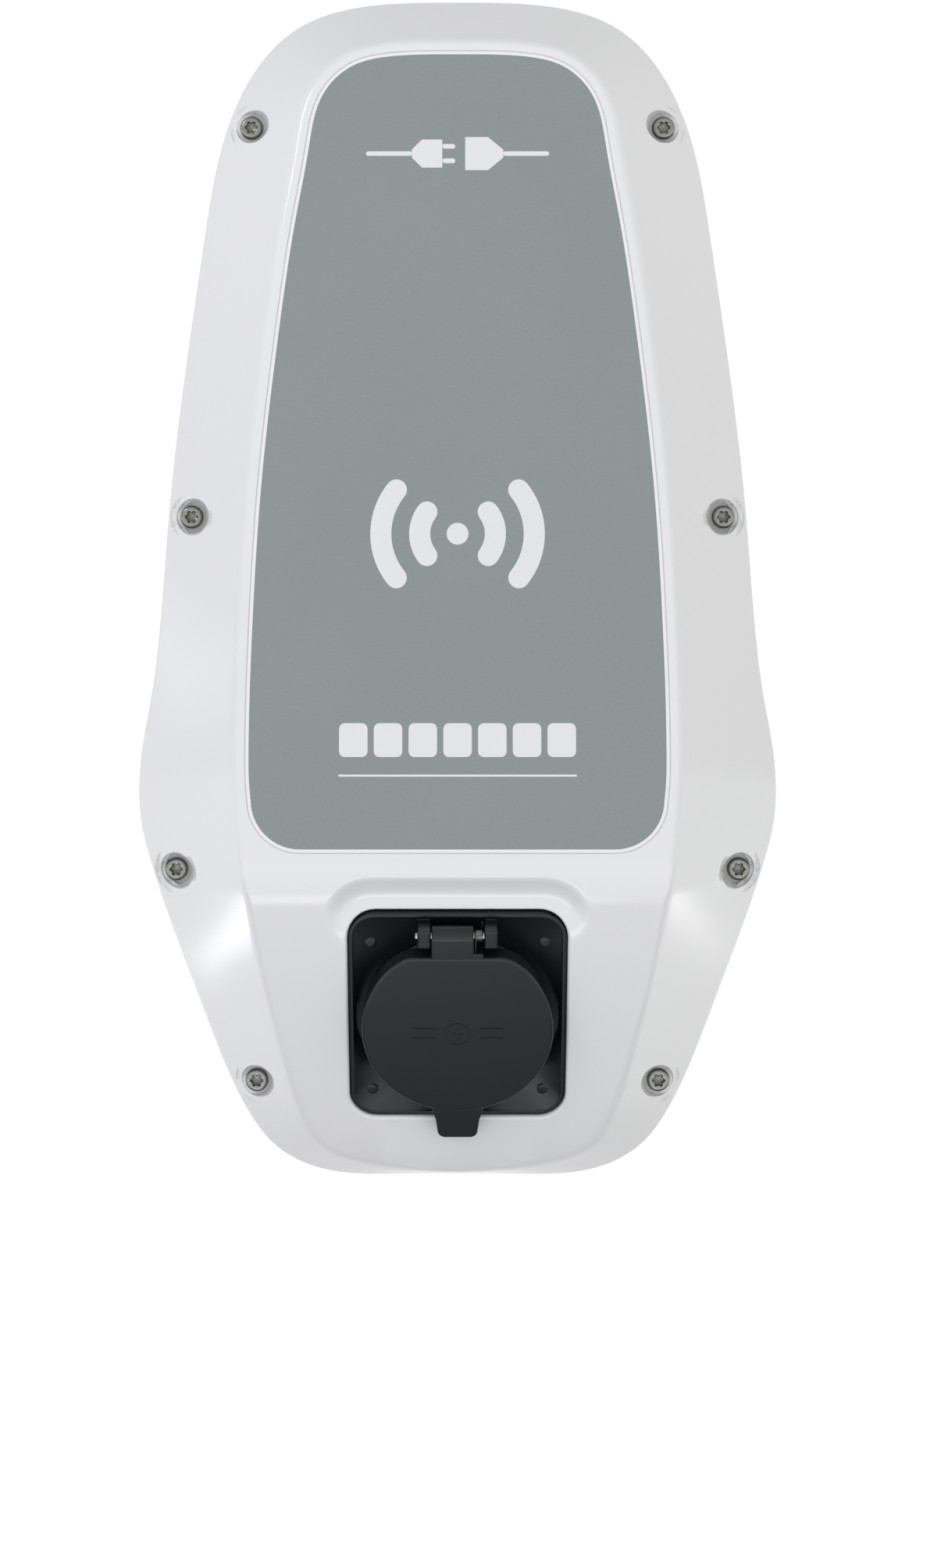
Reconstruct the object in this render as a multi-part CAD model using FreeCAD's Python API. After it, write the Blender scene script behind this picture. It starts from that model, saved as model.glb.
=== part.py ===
"""Wall-mounted charging station for electric cars, with a Type 2 socket behind a self-closing lid.

Frame: millimetres, +Z up, the front faces -Y, and the wall plane is y = 0.
The origin is the centre of the four wall-screw holes on the back face.
"""
import FreeCAD
import Part
import math
import os
from FreeCAD import Placement, Rotation, Vector

# ---------------------------------------------------------------- overall shape
BODY_WIDTH = 259.0          # across the hips
BODY_HEIGHT = 476.0
SEAM_DEPTH = 57.0           # wall to the seam between rear housing and cover
SKIRT = 3.0                 # straight edge of the cover in front of the seam
BROW_DEPTH = 129.0          # wall to the line where film plane and socket plane would meet
BROW_SHARE = -0.475         # height of that line, as a share of half the body height
BROW_RADIUS = 40.0
FILM_TILT = 6.0             # degrees from the wall plane
SOCKET_TILT = 25.0
COVER_WALL = 3.0
COVER_SKIN = 1.0            # left in front of a blind screw hole
HOUSING_WALL = 3.0
HOUSING_DRAFT = 5.0         # how much the rear housing draws in towards the wall
GASKET_THICK = 1.0
GASKET_LAND = 0.6           # wall left beside the gasket

# Half outline from top centre to bottom centre, as shares of half width and half height:
# rim x, rim z, crease x, crease z.  The brow line falls between the two lists.
UPPER_OUTLINE = [
    (0.000, 1.000, 0.000, 0.909), (0.278, 0.994, 0.216, 0.905), (0.442, 0.972, 0.332, 0.889),
    (0.522, 0.948, 0.386, 0.870), (0.649, 0.871, 0.463, 0.811), (0.734, 0.764, 0.496, 0.727),
    (0.792, 0.604, 0.537, 0.601), (0.849, 0.391, 0.590, 0.391), (0.906, 0.124, 0.638, 0.130),
    (0.938, -0.089, 0.658, -0.085), (0.965, -0.196, 0.664, -0.202), (0.983, -0.249, 0.665, -0.269),
    (1.000, -0.356, 0.656, -0.357), (0.990, -0.409, 0.645, -0.418),
]
BROW_STATION = (0.958, 0.632)
LOWER_OUTLINE = [
    (0.934, -0.516, 0.617, -0.529), (0.863, -0.623, 0.587, -0.634), (0.751, -0.783, 0.529, -0.775),
    (0.710, -0.836, 0.504, -0.828), (0.660, -0.889, 0.474, -0.874), (0.587, -0.943, 0.436, -0.917),
    (0.524, -0.969, 0.390, -0.944), (0.396, -0.994, 0.269, -0.969), (0.193, -1.000, 0.131, -0.982),
    (0.000, -1.000, 0.000, -0.9865),
]

# ---------------------------------------------------------------- film and brow recess
FILM_BORDER = 4.3           # between crease and film
FILM_BOTTOM = 11.5          # film's lower edge above the brow line
FILM_CORNER = 20.3
FILM_THICK = 0.5
FILM_SUNK = 0.1             # film surface below the cover surface
FILM_GAP = 0.4
BROW_CUT_TILT = 8.0         # floor of the recess that lets the lid swing up
BROW_CUT_DROP = 21.5        # its lower edge under the brow line
BROW_CUT_HALF = 48.0
BROW_CUT_TOP = 18.0
BROW_CUT_CORNER = 15.0
BROW_CUT_FLARE = 8.0        # the recess wall leans out by this over its height of the same size

# ---------------------------------------------------------------- fasteners
WALL_HOLES_X = 160.0
WALL_HOLES_Z = 300.0
WALL_HOLE_D = 6.5
COVER_SCREW_LEVELS = (0.781, 0.121, -0.476, -0.834)     # shares of half the body height
COVER_SCREW_INSET = 10.0
COVER_BOSS_D = 15.0
POCKET_D = 12.0
POCKET_FLOOR = 8.5          # pocket floor in front of the seam
SCREW_HEAD_D = 9.2
SCREW_HEAD_H = 3.0
M4_SHANK = 4.0
M3_SHANK = 3.0
M3_HEAD_D = 5.6
M3_HEAD_H = 2.2
TORX_D = 5.0
COVER_SCREW_LENGTH = 24.5
INSERT_D = 5.6
INSERT_LENGTH = 9.0
HOUSING_BOSS_D = 12.0
THREAD_PLAY = 0.01

# ---------------------------------------------------------------- socket, in its own frame
# Origin in the middle of the window, +X right, +Y up along the socket plane, +Z out of it.
WINDOW_WIDTH = 85.6
WINDOW_LENGTH = 93.6
WINDOW_CORNER = 11.0
WINDOW_BELOW_BROW = 55.1    # window centre under the brow line, measured upright
WINDOW_GAP = 0.5
FRAME_SUNK = 0.8
FRAME_LIP = 1.6
FRAME_PLATE_MARGIN = 8.0    # the plate behind the cover wall is this much larger than the window
FRAME_PLATE = 3.0
COLLAR_BORE = 32.2          # radii
COLLAR_OUTER = 34.6
DISH_FLOOR_R = 40.0
DISH_FLOOR = -5.0
COLLAR_TOP = 0.7
LID_CENTRE = -1.6
LID_RADIUS = 37.4
LID_FACE = 8.0
LID_UNDER = 3.0
LID_SKIRT_END = 0.2
LID_SKIRT = 2.0
SKIRT_PLAY = 0.5            # collar to skirt along the lid's straight upper edge
LID_FLAT_TOP = 31.8
TAB_END = -52.0
TAB_ROOT_HALF = 10.1
TAB_TIP_HALF = 7.0
TAB_UNDER = 4.0
TAB_FACE = 7.0
SEAL_INNER = 32.4
SEAL_GAP = 0.3
HINGE_UP = 39.3
HINGE_OUT = 3.6
PIN_R = 1.5
PIN_PLAY = 0.05
BARREL_R = 4.2
BARREL_HALF = 10.0
SPRING_SLOT = 6.2           # right end of the barrel left free for the spring
SPRING_WIRE_R = 0.45
SPRING_TURNS = 3
LUG_GAP = 0.3
LUG_WIDTH = 5.2
LUG_REACH = 4.0
CUP_OUTER = 35.0
CUP_INNER = 31.5
CUP_FLAT = 26.0
CUP_FLOOR = -50.0
CUP_WALL = 3.0
CUP_FLANGE = 39.0           # half side
BASE_THICK = 4.0            # plate behind the contact carrier
BASE_OPENING_R = 24.0
CARRIER_R = 24.5
CARRIER_FLAT = 19.5
CARRIER_FACE = -12.0
POWER_PINS = [(0.0, 0.0), (-16.2, 0.0), (16.2, 0.0), (-8.3, -13.8), (8.3, -13.8)]
PILOT_PINS = [(-7.2, 12.2), (7.2, 12.2)]
POWER_SLEEVE_R = 4.0
POWER_BORE_R = 3.0
PILOT_SLEEVE_R = 2.2
PILOT_BORE_R = 1.5
CONTACT_TAIL = -62.0

# ---------------------------------------------------------------- plug lock, in the socket frame
LOCK_TRAVEL = 5.5
BOLT_HALF = 3.0
BOLT_TIP = 26.5
BOLT_BACK = -26.0
BOLT_FRONT = -20.5
SLIDE_PLAY = 0.1
GEAR_MODULE = 0.8
GEAR_TEETH = 20
PINION_TEETH = 10
GEAR_BACK = -24.5
BACKLASH = 0.12
LOCK_BASE = 36.0
LOCK_TOP = 70.0
LOCK_LEFT = -12.0
LOCK_RIGHT = 31.0
LOCK_BACK = -42.0
LOCK_FRONT = -18.0
LOCK_WALL = 1.6
LOCK_EAR = 8.0
GEAR_UP = 54.0
SHAFT_R = 1.5
MOTOR_R = 6.0
MOTOR_BACK = -40.2
MOTOR_FRONT = -26.2

# ---------------------------------------------------------------- electronics
PLATE_THICK = 2.0
PLATE_WIDTH = 150.0
PLATE_STANDOFF = 9.0        # housing floor to plate
PLATE_TOP_SHARE = 0.748     # plate edges, as shares of half the body height
PLATE_BOTTOM_SHARE = -0.303
PLATE_HOLE_EDGE = 10.0
RAIL_LENGTH = 148.0
RAIL_HEIGHT = 35.0
RAIL_DEPTH = 7.5
RAIL_WALL = 1.0
RAIL_ABOVE_PLATE_END = 58.0
MODULE_HEIGHT = 86.0
MODULE_DEPTH = 60.0
CONTACTOR_WIDTH = 54.0
CONTACTOR_LEFT = -66.0
MONITOR_WIDTH = 36.0
MODULE_GAP = 0.5
ARMATURE_TRAVEL = 3.5
TERMINAL_WIDTH = 8.2
TERMINAL_HEIGHT = 46.0
BOARD_WIDTH = 130.0
BOARD_HEIGHT = 100.0
BOARD_THICK = 1.6
BOARD_STANDOFF = 12.0
BOARD_BELOW_PLATE_TOP = 10.0
BOARD_HOLE_EDGE = 5.0
ANTENNA_WIDTH = 78.0
ANTENNA_HEIGHT = 60.0
ANTENNA_STANDOFF = 6.0
ANTENNA_SHARE = 0.0882      # height of the reading field's centre, as a share of half the body height
DIAL_R = 3.2
GROMMET_BORE_R = 8.0
GROMMET_R = 13.0
GROMMET_FLANGE_R = 18.0
GROMMET_BELOW_PLATE = 25.0
WIRE_R = 2.4

HALF_W = BODY_WIDTH / 2
HALF_H = BODY_HEIGHT / 2
BROW_Z = BROW_SHARE * HALF_H
COVER_EDGE = SEAM_DEPTH + SKIRT
HOUSING_EDGE = SEAM_DEPTH - GASKET_THICK
FAR = 400.0


# ---------------------------------------------------------------- small helpers
def box(x0, x1, y0, y1, z0, z1):
    return Part.makeBox(x1 - x0, y1 - y0, z1 - z0, Vector(x0, y0, z0))


def rod(radius, start, end):
    start, end = Vector(*start), Vector(*end)
    return Part.makeCylinder(radius, (end - start).Length, start, end - start)


def tube(outer, inner, start, end):
    return rod(outer, start, end).cut(rod(inner, start, end))


def rounded_wire(width, height, radius, level, middle=(0.0, 0.0)):
    """Rounded rectangle in the XY plane, eight edges, counter-clockwise from the right side."""
    a, b, r = width / 2, height / 2, radius
    cx, cy = middle
    edges = []
    corners = [(a - r, b - r, 0), (-(a - r), b - r, 90), (-(a - r), -(b - r), 180), (a - r, -(b - r), 270)]
    points = []
    for x, y, angle in corners:
        for turn in (0, 45, 90):
            t = math.radians(angle + turn)
            points.append(Vector(cx + x + r * math.cos(t), cy + y + r * math.sin(t), level))
    for i in range(4):
        start, middle_point, end = points[3 * i:3 * i + 3]
        edges.append(Part.makeLine(points[3 * i - 1], start))
        edges.append(Part.Arc(start, middle_point, end).toShape())
    return Part.Wire(edges)


def rounded_slab(width, height, radius, low, high, middle=(0.0, 0.0)):
    face = Part.Face(rounded_wire(width, height, radius, low, middle))
    return face.extrude(Vector(0, 0, high - low))


def fuse_all(shapes):
    shapes = list(shapes)
    return shapes[0].multiFuse(shapes[1:]) if len(shapes) > 1 else shapes[0]


def cut_all(shape, tools):
    return shape.cut(fuse_all(tools))


def group(shapes):
    return Part.makeCompound(list(shapes))


def placed(shape, origin, tilt):
    """Shape moved from a local frame whose +Z points out of the front, tilted down by tilt degrees."""
    moved = shape.copy()
    moved.Placement = Placement(origin, Rotation(Vector(1, 0, 0), 90 + tilt)).multiply(moved.Placement)
    return moved


def pan_screw(length, shank, head_d, head_h, drive_d):
    """Pan-head screw with a hexalobular drive: head on +Z, bearing face at z = 0, shank on -Z."""
    head = Part.makeCylinder(head_d / 2, head_h)
    head = head.makeFillet(head_h * 0.45, [e for e in head.Edges if e.BoundBox.ZMin > head_h - 0.01])
    body = head.fuse(rod(shank / 2, (0, 0, -length), (0, 0, 0.1)))
    lobes = [rod(drive_d * 0.14, (drive_d * 0.36 * math.cos(a), drive_d * 0.36 * math.sin(a), head_h * 0.35),
                 (drive_d * 0.36 * math.cos(a), drive_d * 0.36 * math.sin(a), head_h + 1))
             for a in [math.radians(60 * i) for i in range(6)]]
    star = fuse_all([rod(drive_d * 0.38, (0, 0, head_h * 0.35), (0, 0, head_h + 1))] + lobes)
    return body.cut(star)


# ---------------------------------------------------------------- outline of the body
def stations():
    """Rim and crease points of the right half from top to bottom, and the index at the brow line."""
    rows = [(a * HALF_W, b * HALF_H, c * HALF_W, d * HALF_H) for a, b, c, d in UPPER_OUTLINE]
    rows.append((BROW_STATION[0] * HALF_W, BROW_Z, BROW_STATION[1] * HALF_W, BROW_Z))
    rows += [(a * HALF_W, b * HALF_H, c * HALF_W, d * HALF_H) for a, b, c, d in LOWER_OUTLINE]
    return [r[:2] for r in rows], [r[2:] for r in rows], len(UPPER_OUTLINE)


RIM, CREASE, BROW_INDEX = stations()


def inset(points, distance):
    """Half outline moved inwards, square to itself; the brow station keeps its height."""
    moved = []
    for i, (x, z) in enumerate(points):
        before = points[i - 1] if i > 0 else (-points[1][0], points[1][1])
        after = points[i + 1] if i + 1 < len(points) else (-points[-2][0], points[-2][1])
        dx, dz = after[0] - before[0], after[1] - before[1]
        length = math.hypot(dx, dz)
        moved.append((x + distance * dz / length, z - distance * dx / length))
    moved[BROW_INDEX] = (moved[BROW_INDEX][0], points[BROW_INDEX][1])
    return moved


def width_at(points, z):
    """Half width of an outline at a height, between its two nearest points."""
    for (x0, z0), (x1, z1) in zip(points, points[1:]):
        if z1 <= z <= z0:
            return x0 + (x1 - x0) * (z0 - z) / (z0 - z1)
    raise ValueError("height %s is outside the outline" % z)


def plane_depth(z, tilt, behind=0.0):
    """Depth of the film plane or socket plane at a height, or of a plane behind it."""
    return BROW_DEPTH - abs(z - BROW_Z) * math.tan(math.radians(tilt)) - behind / math.cos(math.radians(tilt))


def half_curve(points, upper, depth_of, grade):
    """Smooth edge of the outline above or below the brow line, from right to left."""
    i = BROW_INDEX
    half = list(reversed(points[:i + 1])) if upper else points[i:]
    path = [(x, z) for x, z in half] + [(-x, z) for x, z in reversed(half[:-1])]
    sense = -1.0 if upper else 1.0
    dx = sense * (points[i + 1][0] - points[i - 1][0])
    dz = sense * (points[i + 1][1] - points[i - 1][1])
    start = Vector(dx, -grade * dz, dz).normalize()
    curve = Part.BSplineCurve()
    curve.interpolate(Points=[Vector(x, -depth_of(z), z) for x, z in path],
                      InitialTangent=start, FinalTangent=Vector(start.x, -start.y, -start.z), Scale=False)
    return curve.toShape()


def ring_wire(points, depth):
    """Whole outline as one closed wire in the plane y = -depth."""
    edges = [half_curve(points, upper, lambda z: depth, 0.0) for upper in (True, False)]
    return Part.Wire([edges[0], edges[1].reversed()])


def flank_block(rim, crease, base_depth, behind):
    """Solid between the rim outline and the crease outline that lies on the two front planes."""
    halves = []
    for upper, tilt in ((True, FILM_TILT), (False, SOCKET_TILT)):
        grade = math.tan(math.radians(tilt)) * (-1.0 if upper else 1.0)
        low = half_curve(rim, upper, lambda z: base_depth, 0.0)
        high = half_curve(crease, upper, lambda z: plane_depth(z, tilt, behind), grade)
        wires = [Part.Wire([e, Part.makeLine(e.lastVertex().Point, e.firstVertex().Point)]) for e in (low, high)]
        halves.append(Part.makeLoft(wires, True, True))
    return halves[0].fuse(halves[1])


def front_profile(behind):
    """Everything behind the front surface, moved back by a distance, with its round brow."""
    top, bottom = HALF_H + 20.0, -HALF_H - 20.0
    t1, t2 = math.radians(FILM_TILT), math.radians(SOCKET_TILT)
    shift = behind * (1 / math.cos(t2) - 1 / math.cos(t1)) / (math.tan(t1) + math.tan(t2))
    corner = Vector(-HALF_W - 20, -plane_depth(BROW_Z, FILM_TILT, behind) + shift * math.tan(t1), BROW_Z + shift)
    outline = [Vector(corner.x, 0, top), Vector(corner.x, -plane_depth(top, FILM_TILT, behind), top), corner,
               Vector(corner.x, -plane_depth(bottom, SOCKET_TILT, behind), bottom), Vector(corner.x, 0, bottom)]
    block = Part.Face(Part.makePolygon(outline + outline[:1])).extrude(Vector(-2 * corner.x, 0, 0))
    brow = [e for e in block.Edges if abs(e.BoundBox.ZMin - corner.z) < 0.01 and e.BoundBox.ZLength < 0.01]
    return block.makeFillet(BROW_RADIUS - behind, brow)


def slab_between(near, far):
    """Layer of the front between two distances behind the surface."""
    return front_profile(near).cut(front_profile(far))


def cover_screw_places():
    line = inset(RIM, COVER_SCREW_INSET)
    levels = [share * HALF_H for share in COVER_SCREW_LEVELS]
    return [(side * width_at(line, z), z) for z in levels for side in (-1, 1)]


# ---------------------------------------------------------------- frames of the front
WINDOW_Z = BROW_Z - WINDOW_BELOW_BROW
SOCKET_ORIGIN = Vector(0, -plane_depth(WINDOW_Z, SOCKET_TILT), WINDOW_Z)
ANTENNA_Z = ANTENNA_SHARE * HALF_H
ANTENNA_ORIGIN = Vector(0, -plane_depth(ANTENNA_Z, FILM_TILT, COVER_WALL), ANTENNA_Z)


def at_socket(shape):
    return placed(shape, SOCKET_ORIGIN, SOCKET_TILT)


def at_antenna(shape):
    return placed(shape, ANTENNA_ORIGIN, -FILM_TILT)


# ---------------------------------------------------------------- cover and film
def film_prism(border):
    """Outline of the film, grown or shrunk by the border, as a prism through the front."""
    bottom = BROW_Z + FILM_BOTTOM + border - FILM_BORDER
    whole = Part.Face(ring_wire(inset(CREASE, border), 0.0)).extrude(Vector(0, -FAR, 0))
    prism = whole.common(box(-FAR, FAR, -FAR, FAR, bottom, FAR))
    upright = [e for e in prism.Edges if e.BoundBox.YLength > FAR - 1 and e.BoundBox.ZMax < bottom + 1]
    return prism.makeFillet(FILM_CORNER + FILM_BORDER - border, upright)


def brow_cutter(grow):
    """Flared block whose floor is the recess above the socket; grow moves every face outwards."""
    floor_z = BROW_Z - BROW_CUT_DROP
    origin = Vector(0, -plane_depth(floor_z, SOCKET_TILT), floor_z)
    wires = []
    for level, flare in ((-grow, 0.0), (BROW_CUT_FLARE, BROW_CUT_FLARE + grow)):
        half, top = BROW_CUT_HALF + grow + flare, BROW_CUT_TOP + grow + flare
        low = -30.0
        wires.append(rounded_wire(2 * half, top - low, BROW_CUT_CORNER + flare, level, (0.0, (top + low) / 2)))
    return placed(Part.makeLoft(wires, True, True), origin, BROW_CUT_TILT)


def front_cover():
    outer = flank_block(RIM, CREASE, COVER_EDGE, 0.0).common(front_profile(0.0))
    outer = outer.fuse(Part.Face(ring_wire(RIM, SEAM_DEPTH)).extrude(Vector(0, -SKIRT, 0)))
    inner_rim = inset(RIM, COVER_WALL)
    hollow = flank_block(inner_rim, inset(CREASE, COVER_WALL), COVER_EDGE, COVER_WALL)
    hollow = hollow.common(front_profile(COVER_WALL))
    hollow = hollow.fuse(Part.Face(ring_wire(inner_rim, SEAM_DEPTH)).extrude(Vector(0, -SKIRT, 0)))
    window = at_socket(rounded_slab(WINDOW_WIDTH, WINDOW_LENGTH, WINDOW_CORNER, -30.0, 30.0))
    seat = at_socket(plate_slab(0.0, -30.0, -COVER_WALL))
    backing = brow_cutter(COVER_WALL).common(outer)
    bosses = [rod(COVER_BOSS_D / 2, (x, -SEAM_DEPTH, z), (x, -FAR / 3, z)) for x, z in cover_screw_places()]
    cover = outer.cut(hollow).fuse(backing.cut(seat))
    cover = cover.fuse([boss.common(outer) for boss in bosses])
    posts = [at_antenna(rod(3.0, (x, y, -ANTENNA_STANDOFF), (x, y, 1.0))) for x, y in antenna_holes()]
    cover = cover.fuse(posts)
    tools = [window, brow_cutter(0.0)]
    tools.append(film_prism(FILM_BORDER - FILM_GAP).common(slab_between(0.0, FILM_SUNK + FILM_THICK)))
    for x, z in cover_screw_places():
        tools.append(rod(POCKET_D / 2, (x, -SEAM_DEPTH - POCKET_FLOOR, z), (x, -FAR / 2, z)))
        tools.append(rod(M4_SHANK / 2 + 0.25, (x, -SEAM_DEPTH + 1, z), (x, -SEAM_DEPTH - POCKET_FLOOR - 1, z)))
    tools += [at_antenna(rod(M3_SHANK / 2, (x, y, -ANTENNA_STANDOFF - 1), (x, y, 0.5)))
              for x, y in antenna_holes()]
    tools += [at_socket(rod(M3_SHANK / 2, (x, y, -COVER_WALL - 5), (x, y, -COVER_SKIN)))
              for x, y in plate_corners()]
    return cut_all(cover, tools)


def front_film():
    return film_prism(FILM_BORDER).common(slab_between(FILM_SUNK, FILM_SUNK + FILM_THICK))


def cover_screws():
    screw = pan_screw(COVER_SCREW_LENGTH, M4_SHANK, SCREW_HEAD_D, SCREW_HEAD_H, TORX_D)
    seat = -SEAM_DEPTH - POCKET_FLOOR
    return group([placed(screw, Vector(x, seat, z), 0.0) for x, z in cover_screw_places()])


def cover_gasket():
    outer = Part.Face(ring_wire(inset(RIM, GASKET_LAND), HOUSING_EDGE)).extrude(Vector(0, -GASKET_THICK, 0))
    inner = Part.Face(ring_wire(inset(RIM, HOUSING_WALL - GASKET_LAND), HOUSING_EDGE))
    return outer.cut(inner.extrude(Vector(0, -GASKET_THICK, 0)))


# ---------------------------------------------------------------- rear housing
def plate_holes():
    x = PLATE_WIDTH / 2 - PLATE_HOLE_EDGE
    top = PLATE_TOP_SHARE * HALF_H - PLATE_HOLE_EDGE
    bottom = PLATE_BOTTOM_SHARE * HALF_H + PLATE_HOLE_EDGE
    return [(side * x, z) for z in (top, bottom) for side in (-1, 1)]


def wall_holes():
    return [(a * WALL_HOLES_X / 2, b * WALL_HOLES_Z / 2) for b in (1, -1) for a in (-1, 1)]


PLATE_FACE = HOUSING_WALL + PLATE_STANDOFF + PLATE_THICK
GROMMET_Z = PLATE_BOTTOM_SHARE * HALF_H - GROMMET_BELOW_PLATE
VENT_Y = -SEAM_DEPTH / 2
VENT_R = 6.0
VENT_CAP_R = 8.5
VENT_SEAT = -HALF_H + HOUSING_DRAFT / 2 + 0.8
PAD_R = 9.0
PAD_HEIGHT = 3.0


def housing_shell(wall):
    """Tapered solid of the rear housing's outline, drawn in by a wall thickness."""
    low = ring_wire(inset(RIM, HOUSING_DRAFT + wall), wall)
    high = ring_wire(inset(RIM, wall), HOUSING_EDGE)
    return Part.makeLoft([low, high], True, True)


def rear_housing():
    solid = housing_shell(0.0)
    edge = -HOUSING_EDGE
    bosses = [rod(HOUSING_BOSS_D / 2, (x, -1, z), (x, edge, z)) for x, z in cover_screw_places()]
    bosses += [rod(5.0, (x, -1, z), (x, -HOUSING_WALL - PLATE_STANDOFF, z)) for x, z in plate_holes()]
    bosses += [rod(PAD_R, (x, -1, z), (x, -HOUSING_WALL - PAD_HEIGHT, z)) for x, z in wall_holes()]
    shell = solid.cut(housing_shell(HOUSING_WALL)).fuse([b.common(solid) for b in bosses])
    tools = [rod(INSERT_D / 2, (x, edge - 1, z), (x, edge + INSERT_LENGTH, z)) for x, z in cover_screw_places()]
    tools += [rod(M4_SHANK / 2 + 0.2, (x, edge - 1, z), (x, -20, z)) for x, z in cover_screw_places()]
    tools += [rod(WALL_HOLE_D / 2, (x, 1, z), (x, -20, z)) for x, z in wall_holes()]
    tools += [rod(M4_SHANK / 2, (x, -HOUSING_WALL - 1, z), (x, -20, z)) for x, z in plate_holes()]
    tools.append(rod(GROMMET_R, (0, 1, GROMMET_Z), (0, -20, GROMMET_Z)))
    tools.append(rod(VENT_R, (0, VENT_Y, -HALF_H - 5), (0, VENT_Y, -HALF_H + 20)))
    tools.append(rod(VENT_CAP_R + 0.3, (0, VENT_Y, -HALF_H - 5), (0, VENT_Y, VENT_SEAT)))
    return cut_all(shell, tools)


def housing_inserts():
    edge = -HOUSING_EDGE
    return group([tube(INSERT_D / 2 - THREAD_PLAY, M4_SHANK / 2 + THREAD_PLAY, (x, edge, z),
                       (x, edge + INSERT_LENGTH, z)) for x, z in cover_screw_places()])


def cable_grommet():
    neck = tube(GROMMET_R - THREAD_PLAY, GROMMET_BORE_R, (0, 0, GROMMET_Z), (0, -HOUSING_WALL, GROMMET_Z))
    lip = tube(GROMMET_FLANGE_R, GROMMET_BORE_R, (0, -HOUSING_WALL, GROMMET_Z), (0, -HOUSING_WALL - 4, GROMMET_Z))
    lip = lip.makeFillet(1.5, [e for e in lip.Edges if e.BoundBox.YMax < -HOUSING_WALL - 3.9])
    return neck.fuse(lip)


def vent_plug():
    """Breather in the floor of the housing, its cap let into the outer wall."""
    stem = rod(VENT_R - THREAD_PLAY, (0, VENT_Y, VENT_SEAT - 0.5), (0, VENT_Y, VENT_SEAT + 8))
    cap = rod(VENT_CAP_R, (0, VENT_Y, VENT_SEAT - 2.2), (0, VENT_Y, VENT_SEAT))
    nut = [Vector(9 * math.cos(math.radians(60 * i)), VENT_Y + 9 * math.sin(math.radians(60 * i)),
                  VENT_SEAT + HOUSING_WALL) for i in range(7)]
    nut = Part.Face(Part.makePolygon(nut)).extrude(Vector(0, 0, 4))
    return fuse_all([stem, cap, nut])


def wall_washers():
    y = -HOUSING_WALL - PAD_HEIGHT
    return group([tube(8.0, WALL_HOLE_D / 2, (x, y, z), (x, y - 1.5, z)) for x, z in wall_holes()])


# ---------------------------------------------------------------- socket frame and lid
def socket_frame():
    width, length = WINDOW_WIDTH - 2 * WINDOW_GAP, WINDOW_LENGTH - 2 * WINDOW_GAP
    corner = WINDOW_CORNER - WINDOW_GAP
    back = -COVER_WALL - GASKET_THICK - FRAME_PLATE
    block = rounded_slab(width, length, corner, back, -FRAME_SUNK)
    plate = plate_slab(0.5, back, back + FRAME_PLATE)
    mouth = rounded_wire(width - 2 * FRAME_LIP, length - 2 * FRAME_LIP, corner - FRAME_LIP, -FRAME_SUNK)
    angles = []
    for vertex in mouth.OrderedVertexes:
        angles.append(math.atan2(vertex.Point.y - LID_CENTRE, vertex.Point.x))
    ring = []
    for i, a in enumerate(angles):
        b = angles[(i + 1) % len(angles)]
        b += 2 * math.pi if b < a else 0.0
        ends = [Vector(DISH_FLOOR_R * math.cos(t), LID_CENTRE + DISH_FLOOR_R * math.sin(t), DISH_FLOOR)
                for t in (a, (a + b) / 2, b)]
        ring.append(Part.Arc(*ends).toShape())
    dish = Part.makeLoft([Part.Wire(ring), mouth], True, True)
    frame = block.fuse(plate).cut(dish)
    collar = rod(COLLAR_OUTER, (0, LID_CENTRE, back), (0, LID_CENTRE, COLLAR_TOP))
    under_lid_edge = box(-FAR, FAR, LID_FLAT_TOP - LID_SKIRT - SKIRT_PLAY, FAR, LID_SKIRT_END - SKIRT_PLAY, FAR)
    frame = frame.fuse(collar.cut(under_lid_edge))
    frame = frame.cut(rod(COLLAR_BORE, (0, LID_CENTRE, back - 1), (0, LID_CENTRE, COLLAR_TOP + 1)))
    inner = BARREL_HALF + LUG_GAP
    for side in (-1, 1):
        x0, x1 = sorted((side * inner, side * (inner + LUG_WIDTH)))
        lug = box(x0, x1, HINGE_UP - LUG_REACH, HINGE_UP + LUG_REACH, DISH_FLOOR - 1, HINGE_OUT + LUG_REACH - 0.6)
        tip = [e for e in lug.Edges if e.BoundBox.ZMin > HINGE_OUT and e.BoundBox.XLength > 1]
        frame = frame.fuse(lug.makeFillet(1.0, tip))
    frame = frame.cut(rod(PIN_R + PIN_PLAY, (-30, HINGE_UP, HINGE_OUT), (30, HINGE_UP, HINGE_OUT)))
    holes = [rod(M3_SHANK / 2 + 0.2, (x, y, back - 1), (x, y, back + FRAME_PLATE + 1))
             for x, y in plate_corners()]
    holes += [rod(M3_SHANK / 2, (x, y, back - 1), (x, y, -3.0)) for x, y in flange_corners()]
    return at_socket(cut_all(frame, holes))


def plate_slab(play, low, high):
    """Slab round the window, cut off level with its upper edge, where the brow recess thins the cover."""
    full = rounded_slab(WINDOW_WIDTH + 2 * (FRAME_PLATE_MARGIN - play), WINDOW_LENGTH + 2 * (FRAME_PLATE_MARGIN - play),
                        WINDOW_CORNER + FRAME_PLATE_MARGIN, low, high)
    return full.cut(box(-FAR, FAR, WINDOW_LENGTH / 2 - play, FAR, low - 1, high + 1))


def plate_corners():
    x = WINDOW_WIDTH / 2 + FRAME_PLATE_MARGIN / 2 - 1.0
    y = WINDOW_LENGTH / 2 - WINDOW_CORNER
    return [(a * x, b * y) for b in (1, -1) for a in (-1, 1)]


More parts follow.
